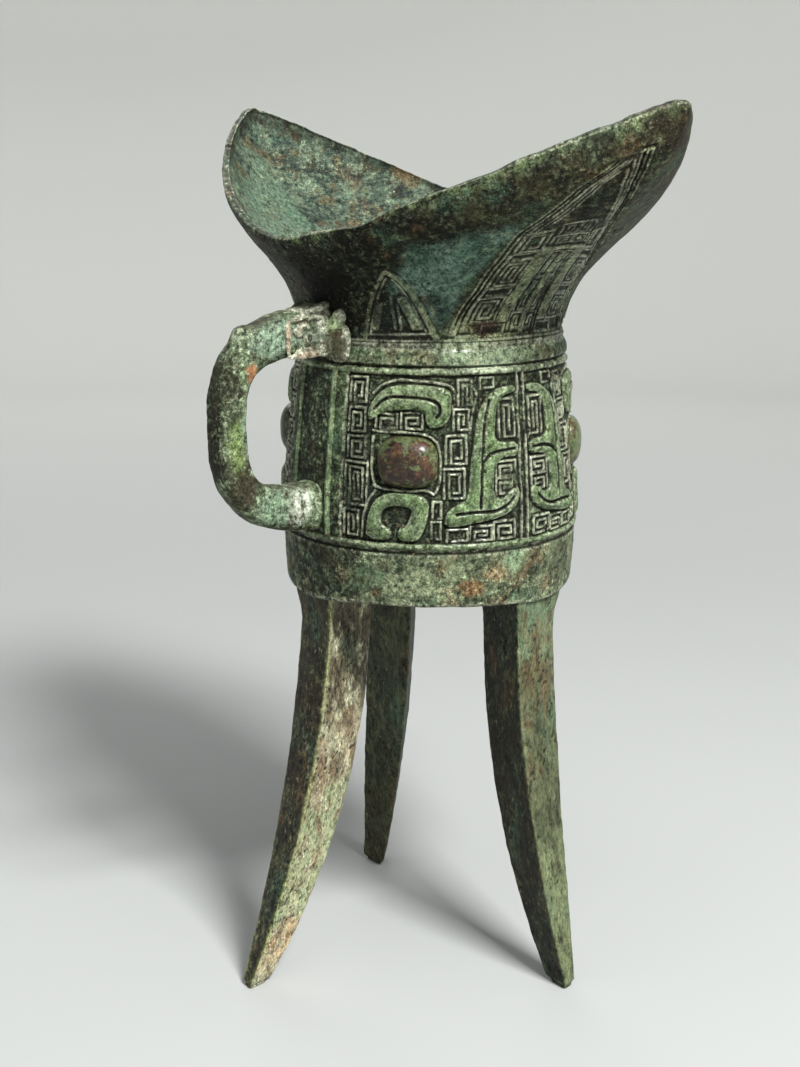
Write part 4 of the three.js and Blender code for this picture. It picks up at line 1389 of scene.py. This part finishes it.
def mouth_half(name, start):
    angles = (start + np.linspace(0, math.pi, MOUTH_ACROSS))[None, :]
    up_rows = np.linspace(0, 1, MOUTH_UP)[:, None]
    down_rows = np.linspace(1, 0, MOUTH_DOWN)[:, None]
    chip = rim_chips(angles)
    outer = mouth_outside(angles, up_rows)
    outer[..., 2] -= chip * smoothstep(up_rows, 0.9, 1.0)
    crown = [
        mouth_point(angles, np.ones((1, 1)), LIP_WALL * share, CROWN_HEIGHT * height - chip)
        for share, height in (
            (-0.06, 0.5), (0.06, 0.8), (0.25, 0.95), (0.5, 1.0), (0.75, 0.95), (0.94, 0.8),
            (1.04, 0.5),
        )
    ]
    inset = lerp(CUP_WALL, LIP_WALL, smoothstep(down_rows, 0.85, 1))
    inner = mouth_point(angles, down_rows, inset)
    inner[..., 2] -= chip * smoothstep(down_rows, 0.9, 1.0)
    outer[0, :, 2] -= 0.1
    block = np.vstack([outer, *crown, inner])
    block[..., 0] += LEFT_TIP_SHIFT * smoothstep(-block[..., 0], 55.0, 84.0)
    outward = block_normals(block, wrap_sides=False)
    middle = mouth_point(angles, up_rows, MOUTH_WALL / 2)
    if np.einsum("ijk,ijk->ij", outward[:MOUTH_UP], outer - middle).sum() < 0:
        outward = -outward
    heights = np.concatenate([up_rows[:, 0], np.ones(len(crown)), down_rows[:, 0]])
    inside = np.concatenate([np.zeros(MOUTH_UP), np.linspace(0, 1, len(crown)), np.ones(MOUTH_DOWN)])
    degrees = np.degrees(np.arctan2(np.sin(angles), np.abs(np.cos(angles))))
    chart = np.stack(
        np.broadcast_arrays(degrees, heights[:, None], inside[:, None]), axis=-1
    )
    by_handle = 1 - smoothstep(degrees, -84.0, -62.0)
    worn = 1.0 + 0.7 * smoothstep(heights, 0.9, 1.0)[:, None] + 0.7 * by_handle
    worn = worn * (1.0 - 0.55 * smoothstep(inside, 0.3, 1.0)[:, None])
    mesh = shell(name, block, outward * worn[..., None], chart, crisp_rows=(0, len(block) - 1))
    spot = block.copy()
    spot[..., 0] = np.abs(spot[..., 0])
    spot[MOUTH_UP:] += OFF_THE_DRAWING
    add_attribute(mesh, "spot", spot.reshape(-1, 3) * MM)
    finish_piece(name, mesh, "winged_mouth", mouth_skin, (0.35, 0.18, 0.2), {
        **mouth_drawings, "Ground depth": 0.36, "Thread height": 0.36, "Thread width": 0.2,
        "Band height": 0.16, "Band crown": 0.0, "Groove depth": 0.4, "Wear": 0.5,
    })


mouth_half("mouth_right", -math.pi / 2)
mouth_half("mouth_left", math.pi / 2)

# %% [markdown]
# A leg is a blade with three faces: a broad one that looks outward and two that meet in a ridge
# under the cup. It leans out more and more towards its foot and tapers to a blunt point. The
# section is drawn as a polygon and its corners are worn round. At the top the section swells, the
# way the metal flowed into the cup.

# %% The legs
LEG_ROWS, LEG_SIDES = 240, 126
# How far from the axis the broad face and the ridge stand, at the root and at the foot.
LEG_FACE, LEG_RIDGE = (34.4, 52.6), (17.4, 45.2)
# How far the face bulges, and by what share the section swells at the root and shrinks at the foot.
LEG_BULGE, LEG_SWELL, LEG_BLUNT = 0.7, 0.16, 0.35
# The powers by which a leg bends outward, tapers and splays on its way down.
BEND_POWER, TAPER_POWER, SPLAY_POWER = 1.75, 2.35, 2
# Half the width of the ridge, and how far from a corner the metal is rubbed.
RIDGE_HALF_WIDTH, RUBBED_REACH = 0.5, 0.9


def leg_section(height, splay, root, foot):
    drop = 1 - height / wall_foot
    bend, taper = drop ** BEND_POWER, drop ** TAPER_POWER
    lean = splay * drop ** SPLAY_POWER
    face = lerp(*LEG_FACE, bend) + lean
    ridge = lerp(*LEG_RIDGE, taper) + lean
    half = lerp(root, foot, taper) / 2
    corners = np.array([
        (face, -half), (face + LEG_BULGE * (1 - drop), 0.0), (face, half),
        (ridge, RIDGE_HALF_WIDTH), (ridge, -RIDGE_HALF_WIDTH),
    ])
    loop = np.vstack([corners, corners[:1]])
    ring, at, walked = evenly_spaced(loop, LEG_SIDES, endpoint=False)
    for _ in range(10):
        ring = (np.roll(ring, 1, axis=0) + 2 * ring + np.roll(ring, -1, axis=0)) / 4
    middle = ring.mean(axis=0)
    swell = 1 + LEG_SWELL * smoothstep(height, wall_foot - 12.0, wall_foot - 1.0) ** 2
    blunt = 1 - LEG_BLUNT * (1 - smoothstep(height, 0.0, 1.6))
    on_minus = smoothstep(at, walked[3], walked[4])
    on_plus = smoothstep(at, walked[2] - 0.6, walked[2] + 0.6) - on_minus
    to_corner = np.min([np.abs(at - walked[k]) for k in (0, 2, 5)], axis=0)
    rubbed = np.exp(-(to_corner / RUBBED_REACH) ** 2)
    return middle + (ring - middle) * swell * blunt, on_plus, on_minus, rubbed


# %% [markdown]
# Each leg has aged in its own way, and its faces differ too, partly as painted light and shade: the
# face that turns from the lamp is painted dark, and on the leg under the handle the face that turns to
# it is painted pale. The chart of a leg says how far a point lies on the one side face or on the
# other, and how high it is. The legs are made here, with their skins.

# %% The skins of the legs
def leg_layers(outer, plus, minus, streaks):
    """Colours of the three faces as (dark, light), and streaks on one face between two heights."""
    def layers(graph, noise, chart):
        on_plus, height, on_minus = chart
        sides = {"outer": 1.0 - on_plus - on_minus, "plus": on_plus, "minus": on_minus}
        blots = noise(5.0, 5.0, 13.0).rise(0.4, 0.58)
        ragged = height + (noise(9.0, 4.0, 14.0) - 0.5) * 60.0
        over = [(on_plus, graph.mix(blots, *plus)), (on_minus, graph.mix(blots, *minus))]
        for low, high, which, streak_colour, strength in streaks:
            share = ragged.rise(low - 4, low + 4) * ragged.rise(high + 4, high - 4)
            share = share * sides[which] * noise(4.0, 4.0, 15.0 + low * 0.01).rise(0.38, 0.52)
            over.append((share * strength, streak_colour))
        return [(0.92, graph.layered(graph.mix(blots, *outer), over))]
    return layers


leg_skins = {
    "leg_under_handle": bronze_skin(
        "leg_under_handle_skin", DEEP, GREEN, (112, 112, 82), edge=(150, 160, 100),
        gloss=0.38, bloom_amount=0.25, contrast=0.95, streak=0.6, coat=0.1,
        line=(130, 126, 100), extra=leg_layers(
            # The outer face is painted dark and the plus face pale, partly as painted shade and
            # painted light, since the lamp lights the plus face and not the outer one.
            ((21, 18, 13), (54, 50, 36)), ((124, 114, 90), (198, 196, 164)),
            ((34, 36, 27), (68, 72, 52)), [
                (46, 84, "outer", (34, 19, 12), 0.9), (0, 40, "outer", (24, 24, 19), 0.7),
                (76, 104, "plus", (70, 56, 42), 0.9), (28, 66, "plus", (146, 116, 88), 0.5),
                (14, 50, "plus", (176, 190, 146), 0.8), (4, 40, "plus", (190, 156, 128), 0.2),
                (0, 14, "plus", (226, 192, 146), 0.7),
            ],
        ),
    ),
    "leg_right": bronze_skin(
        "leg_right_skin", DEEP, GREEN, (112, 120, 88), edge=(86, 92, 62),
        gloss=0.4, bloom_amount=0.15, contrast=0.6, streak=0.55, coat=0.1, line=(120, 124, 94),
        extra=leg_layers(
            ((60, 64, 44), (92, 98, 70)), ((44, 48, 34), (76, 82, 58)),
            # The minus face is painted nearly black, partly as painted shade, since it turns away from
            # the lamp.
            ((9, 9, 7), (27, 26, 19)), [
                (84, 104, "outer", (118, 142, 110), 0.8), (74, 96, "outer", (124, 84, 54), 0.3),
                (0, 40, "outer", (150, 162, 118), 0.45), (20, 70, "minus", (42, 30, 20), 0.5),
            ],
        ),
    ),
    "leg_left": bronze_skin(
        "leg_left_skin", DEEP, GREEN, (80, 84, 62), edge=(66, 70, 46), gloss=0.4,
        bloom_amount=0.2, contrast=0.75, streak=0.5, coat=0.1, line=(90, 92, 66), extra=leg_layers(
            ((48, 51, 36), (80, 84, 60)), ((43, 45, 32), (78, 82, 57)),
            ((43, 45, 32), (78, 82, 57)), [
                (0, 26, "plus", (68, 58, 40), 0.8), (0, 26, "minus", (68, 58, 40), 0.8),
                (30, 70, "plus", (50, 60, 46), 0.4),
            ],
        ),
    ),
}
for node, (azimuth, splay, root, foot) in LEGS.items():
    heights = np.concatenate([[0.0, 0.25, 0.6], np.linspace(1.0, wall_foot, LEG_ROWS)])
    turn_angle = math.radians(azimuth)
    block, chart, corners_rubbed = [], [], []
    for height in heights:
        ring, on_plus, on_minus, rubbed = leg_section(height, splay, root, foot)
        level = np.full(LEG_SIDES, height)
        block.append(np.stack([*swung(ring[:, 0], ring[:, 1], turn_angle), level], axis=-1))
        chart.append(np.stack([on_plus, level, on_minus], axis=-1))
        corners_rubbed.append(rubbed)
    block = np.array(block)
    outward = outward_of(block, block.mean(axis=1))
    outward[:2] = 0.0
    mesh = tube(node, block, outward, np.array(chart))
    add_attribute(mesh, "band", np.append(corners_rubbed, [0.0, 0.0]))
    finish_piece(
        node + "_blade", mesh, node, leg_skins[node], (0.5, 0.28, 0.34)
    )

# %% [markdown]
# The handle is a strap swept along a squared arch from the neck to the lower wall. It is thick
# where it meets the vessel and slimmer where fingers hold it. A small knob stands on its
# shoulder.

# %% The handle
HANDLE_TOP, HANDLE_BOTTOM = neck_height + 2.9, wall_foot + 21.6
HANDLE_REACH, HANDLE_HALF_WIDTH = 60.55, 5.0
THIN_STRAP, THICK_STRAP = 8.4, 11.8
ARCH_POWER, SECTION_POWER, ROOT_FLARE = 2 / 3.1, 0.65, 0.15
KNOB_ANGLE, KNOB_HEIGHT = math.radians(49), 1.8
HANDLE_ROWS, HANDLE_SIDES = 300, 96


def handle_point(angle):
    out = NECK_RADIUS + (HANDLE_REACH - NECK_RADIUS) * np.cos(angle) ** ARCH_POWER
    rise = (HANDLE_TOP + HANDLE_BOTTOM) / 2
    rise = rise + (HANDLE_TOP - HANDLE_BOTTOM) / 2 * squared(np.sin(angle), ARCH_POWER)
    return np.stack([np.zeros_like(angle), -out, rise], axis=-1)


fine_angles = np.linspace(math.radians(88), -math.pi / 2, 1500)
walked = walked_length(handle_point(fine_angles))
spaced = np.interp(np.linspace(0, walked[-1], HANDLE_ROWS), walked, fine_angles)
centres = handle_point(spaced)
along = np.gradient(centres, axis=0)
for _ in range(12):
    along[1:-1] = (along[:-2] + 2 * along[1:-1] + along[2:]) / 4
side_way = np.array([1.0, 0.0, 0.0])
out_way = np.cross(unit(along), side_way)
around = full_circle(HANDLE_SIDES)
flare = 1 + ROOT_FLARE * (1 - smoothstep(-centres[:, 1], 35.5, 42.0)) ** 2 * (spaced < 0)
thickness = lerp(THIN_STRAP, THICK_STRAP, np.abs(np.sin(spaced)) ** 2.5) * flare
sideways = squared(np.cos(around), SECTION_POWER)[None, :, None] * HANDLE_HALF_WIDTH
outways = squared(np.sin(around), SECTION_POWER)[None, :] * thickness[:, None] / 2
block = (
    centres[:, None, :] + sideways * flare[:, None, None] * side_way
    + outways[..., None] * out_way[:, None, :]
)
knob_row = int(np.argmin(np.abs(spaced - KNOB_ANGLE)))
knob_place = centres[knob_row] + out_way[knob_row] * thickness[knob_row] / 2
outward = outward_of(block, centres)
to_knob = np.linalg.norm(block - knob_place, axis=2)
block += outward * (KNOB_HEIGHT * (1 - smoothstep(to_knob, 0.6, 4.6)))[..., None]
outward = outward_of(block, centres)
chart = np.zeros_like(block)
chart[..., 0] = np.linspace(0, 1, HANDLE_ROWS)[:, None]
mesh = tube("handle", block, outward, chart)
finish_piece("handle", mesh, "handle_strap", handle_skin, (0.9, 0.36, 0.34))

# %% [markdown]
# Where the strap leaves the neck it passes through an animal's jaws. The head is worn nearly
# smooth: a squared skull with a framed cheek and a curled eye line on each side, a brow, and two
# low horns that lie back. A plate on each side and an ear above it run into the vessel's neck.
# The parts are joined and then covered by one skin of small cubes, which melts them together
# like old wax.

# %% The animal head
BLOCK_ROWS, BLOCK_SIDES = 30, 48
CUBE = 0.26
HEAD_HEIGHT = HANDLE_TOP - 0.4


def rounded_block(centre, halves, squareness, tilt_angle):
    """A block between a ball (squareness 2) and a box, tilted about the x axis."""
    around = full_circle(BLOCK_SIDES)
    over = np.linspace(0.05, math.pi - 0.05, BLOCK_ROWS)[:, None]
    power = 2 / squareness
    x = squared(np.cos(around), power) * squared(np.sin(over), power)
    y = squared(np.sin(around), power) * squared(np.sin(over), power)
    z = squared(np.cos(over), power) * np.ones_like(around)
    reach = sum(np.abs(way) ** squareness for way in (x, y, z)) ** (1 / squareness)
    local = np.stack([x, y, z], axis=-1) / reach[..., None] * np.array(halves)
    y, z = swung(local[..., 1], local[..., 2], tilt_angle)
    return np.stack([local[..., 0], y, z], axis=-1) + np.array(centre)


parts = [
    ((0, -39.6, HEAD_HEIGHT), (4.7, 6.5, 5.5), 4.2, 0.0),
    ((0, -35.2, HEAD_HEIGHT + 1.4), (4.6, 4.4, 5.8), 3.2, -0.1),
    ((0, -38.6, HEAD_HEIGHT + 5.2), (3.4, 6.0, 1.5), 2.6, 0.1),
]


def ball_chain(places):
    """Small balls in a row, from (out, along, up, radius)."""
    return [
        ((out, along, rise), (radius, radius, radius), 2.0, 0.0)
        for out, along, rise, radius in places
    ]


side_parts = [
    ((4.7, -46.2, -0.6), (0.7, 0.9, 4.4), 2.4, 0.0),
    ((4.7, -41.4, -4.8), (0.7, 5.4, 0.9), 2.4, 0.03),
    ((4.8, -43.2, 3.9), (0.8, 3.0, 0.6), 2.2, 0.2),
    ((4.7, -42.4, 2.0), (0.7, 1.8, 0.5), 2.2, 0.3),
    ((4.7, -43.4, 0.7), (1.0, 1.4, 1.3), 2.0, 0.0),
    ((3.8, -36.4, 6.3), (1.2, 3.6, 1.1), 2.2, 0.25),
    ((6.6, -33.2, -2.0), (4.8, 1.5, 5.0), 2.6, 0.0),
    ((4.8, -35.8, -0.6), (1.8, 3.2, 5.0), 2.4, 0.0),
    *ball_chain(
        (5.0, -38.6 + 4.3 * math.cos(a), 4.3 * math.sin(a), 0.75)
        for a in np.radians(np.linspace(115, -85, 15))
    ),
    *ball_chain(
        (4.8, -40.2 + 1.1 * math.cos(a), -0.8 + 1.1 * math.sin(a), 0.55)
        for a in np.radians(np.linspace(0, 360, 10, endpoint=False))
    ),
    *ball_chain(
        lerp(np.array((4.6, -35.4, -1.6, 1.4)), np.array((7.4, -33.3, 4.2, 2.0)), k / 9)
        for k in range(10)
    ),
]
for side in (-1, 1):
    for (out, along, rise), halves, squareness, tilt_angle in side_parts:
        centre = (side * out, along, HEAD_HEIGHT + rise)
        parts.append((centre, halves, squareness, tilt_angle))
points, faces = [], []
for part in parts:
    block = rounded_block(*part)
    first = len(points)
    points.extend(block.reshape(-1, 3))
    last_ring = first + (BLOCK_ROWS - 1) * BLOCK_SIDES
    faces.extend(quads(BLOCK_ROWS, BLOCK_SIDES, False, True, first))
    faces.append([first + k for k in range(BLOCK_SIDES)])
    faces.append([last_ring + k for k in reversed(range(BLOCK_SIDES))])
lump = add_object("head_parts", make_mesh("head_parts", np.array(points), faces))
remesh = lump.modifiers.new("melt", "REMESH")
remesh.mode = "VOXEL"
remesh.voxel_size = CUBE * MM
soften = lump.modifiers.new("soften", "SMOOTH")
soften.factor = 0.5
soften.iterations = 3
melted = bpy.data.meshes.new_from_object(lump.evaluated_get(bpy.context.evaluated_depsgraph_get()))
bpy.data.objects.remove(lump)
melted.shade_smooth()
add_attribute(melted, "outward", read_field(melted.vertices, "normal"))
add_attribute(melted, "chart", np.zeros((len(melted.vertices), 3)))
finish_piece(
    "animal_head", melted, "handle_animal_head", head_skin, (0.3, 0.3, 0.3)
)

for drawn in (*cup_drawings.values(), *mouth_drawings.values()):
    bpy.data.objects.remove(drawn)
print("the hidden drawings are gone")

# %% [markdown]
# The studio is one sheet of paper, turned about the axis like a wide bowl, so the vessel has a pale
# ground from every side. Its flat part is a little darker than its wall.

# %% Lay the paper
BOWL_RADIUS, BOWL_CURVE, BOWL_HEIGHT, BOWL_SIDES = 1500.0, 450.0, 800.0, 96
FLOOR_TONE, WALL_TONE = (0.36, 0.37, 0.36, 1.0), (0.53, 0.54, 0.515, 1.0)

bowl_rows = [(0.01, 0.0), (300.0, 0.0), (700.0, 0.0)]
for step in range(25):
    sweep = step / 24 * math.pi / 2
    bowl_rows.append((
        BOWL_RADIUS - BOWL_CURVE * (1 - math.sin(sweep)), BOWL_CURVE * (1 - math.cos(sweep))
    ))
bowl_rows = np.array(bowl_rows + [(BOWL_RADIUS, BOWL_HEIGHT)])
around = full_circle(BOWL_SIDES)
bowl, _ = turned(bowl_rows, np.zeros_like(bowl_rows), around)
faces = quads(len(bowl_rows), BOWL_SIDES, False, True) + [list(range(BOWL_SIDES))]
paper = add_object("paper", make_mesh("paper", bowl.reshape(-1, 3), faces))

pale_paper, graph = new_material("pale_paper")
away = graph.length(graph.node("ShaderNodeTexCoord", {}, {}, "Object"))
tone = graph.mix(away.rise(0.3, 1.1), FLOOR_TONE, WALL_TONE)
close_material(graph, {"Base Color": tone, "Roughness": 0.9})
paper.data.materials.append(pale_paper)
print("paper:", len(faces), "faces")

# %% [markdown]
# The light is a soft window from the right of the camera, a weaker one from the left, a lamp
# above, one behind, one that only lights the paper, and an even pale world. Together they stay at
# a plain level, so a painted colour shows nearly as written.

# %% Hang the lamps
AIM_HEIGHT = 0.13


def soft_lamp(name, turn_from_camera, height_angle, distance, size, watts, to_cup=True):
    """A square lamp that looks at the cup, or away from it. Degrees and metres."""
    lamp_data = bpy.data.lights.new(name, "AREA")
    lamp_data.size = size
    lamp_data.energy = watts
    lamp = add_object(name, lamp_data)
    azimuth = math.radians(CAMERA_TURN + turn_from_camera)
    rise = math.radians(height_angle)
    back = Vector((
        math.sin(azimuth) * math.cos(rise),
        -math.cos(azimuth) * math.cos(rise),
        math.sin(rise),
    ))
    lamp.location = axis + Vector((0, 0, AIM_HEIGHT)) + back * distance
    lamp.rotation_mode = "QUATERNION"
    lamp.rotation_quaternion = (back if to_cup else -back).to_track_quat("Z", "Y")
    lamp.visible_camera = False


soft_lamp("window_right", 32, 48, 1.2, 0.3, 31.0)
soft_lamp("window_left", -70, 25, 1.3, 0.9, 1.4)
soft_lamp("overhead", 10, 78, 1.3, 0.8, 6.0)
soft_lamp("fill_behind", 195, 35, 1.3, 0.8, 4.0)
soft_lamp("paper_light", 180, 40, 0.5, 0.5, 0.8, to_cup=False)
world = bpy.data.worlds.new("studio")
world.use_nodes = True
background = world.node_tree.nodes["Background"]
background.inputs["Color"].default_value = (0.9, 0.95, 1.0, 1.0)
background.inputs["Strength"].default_value = 0.14
bpy.context.scene.world = world
bpy.context.scene.view_settings.view_transform = "Standard"
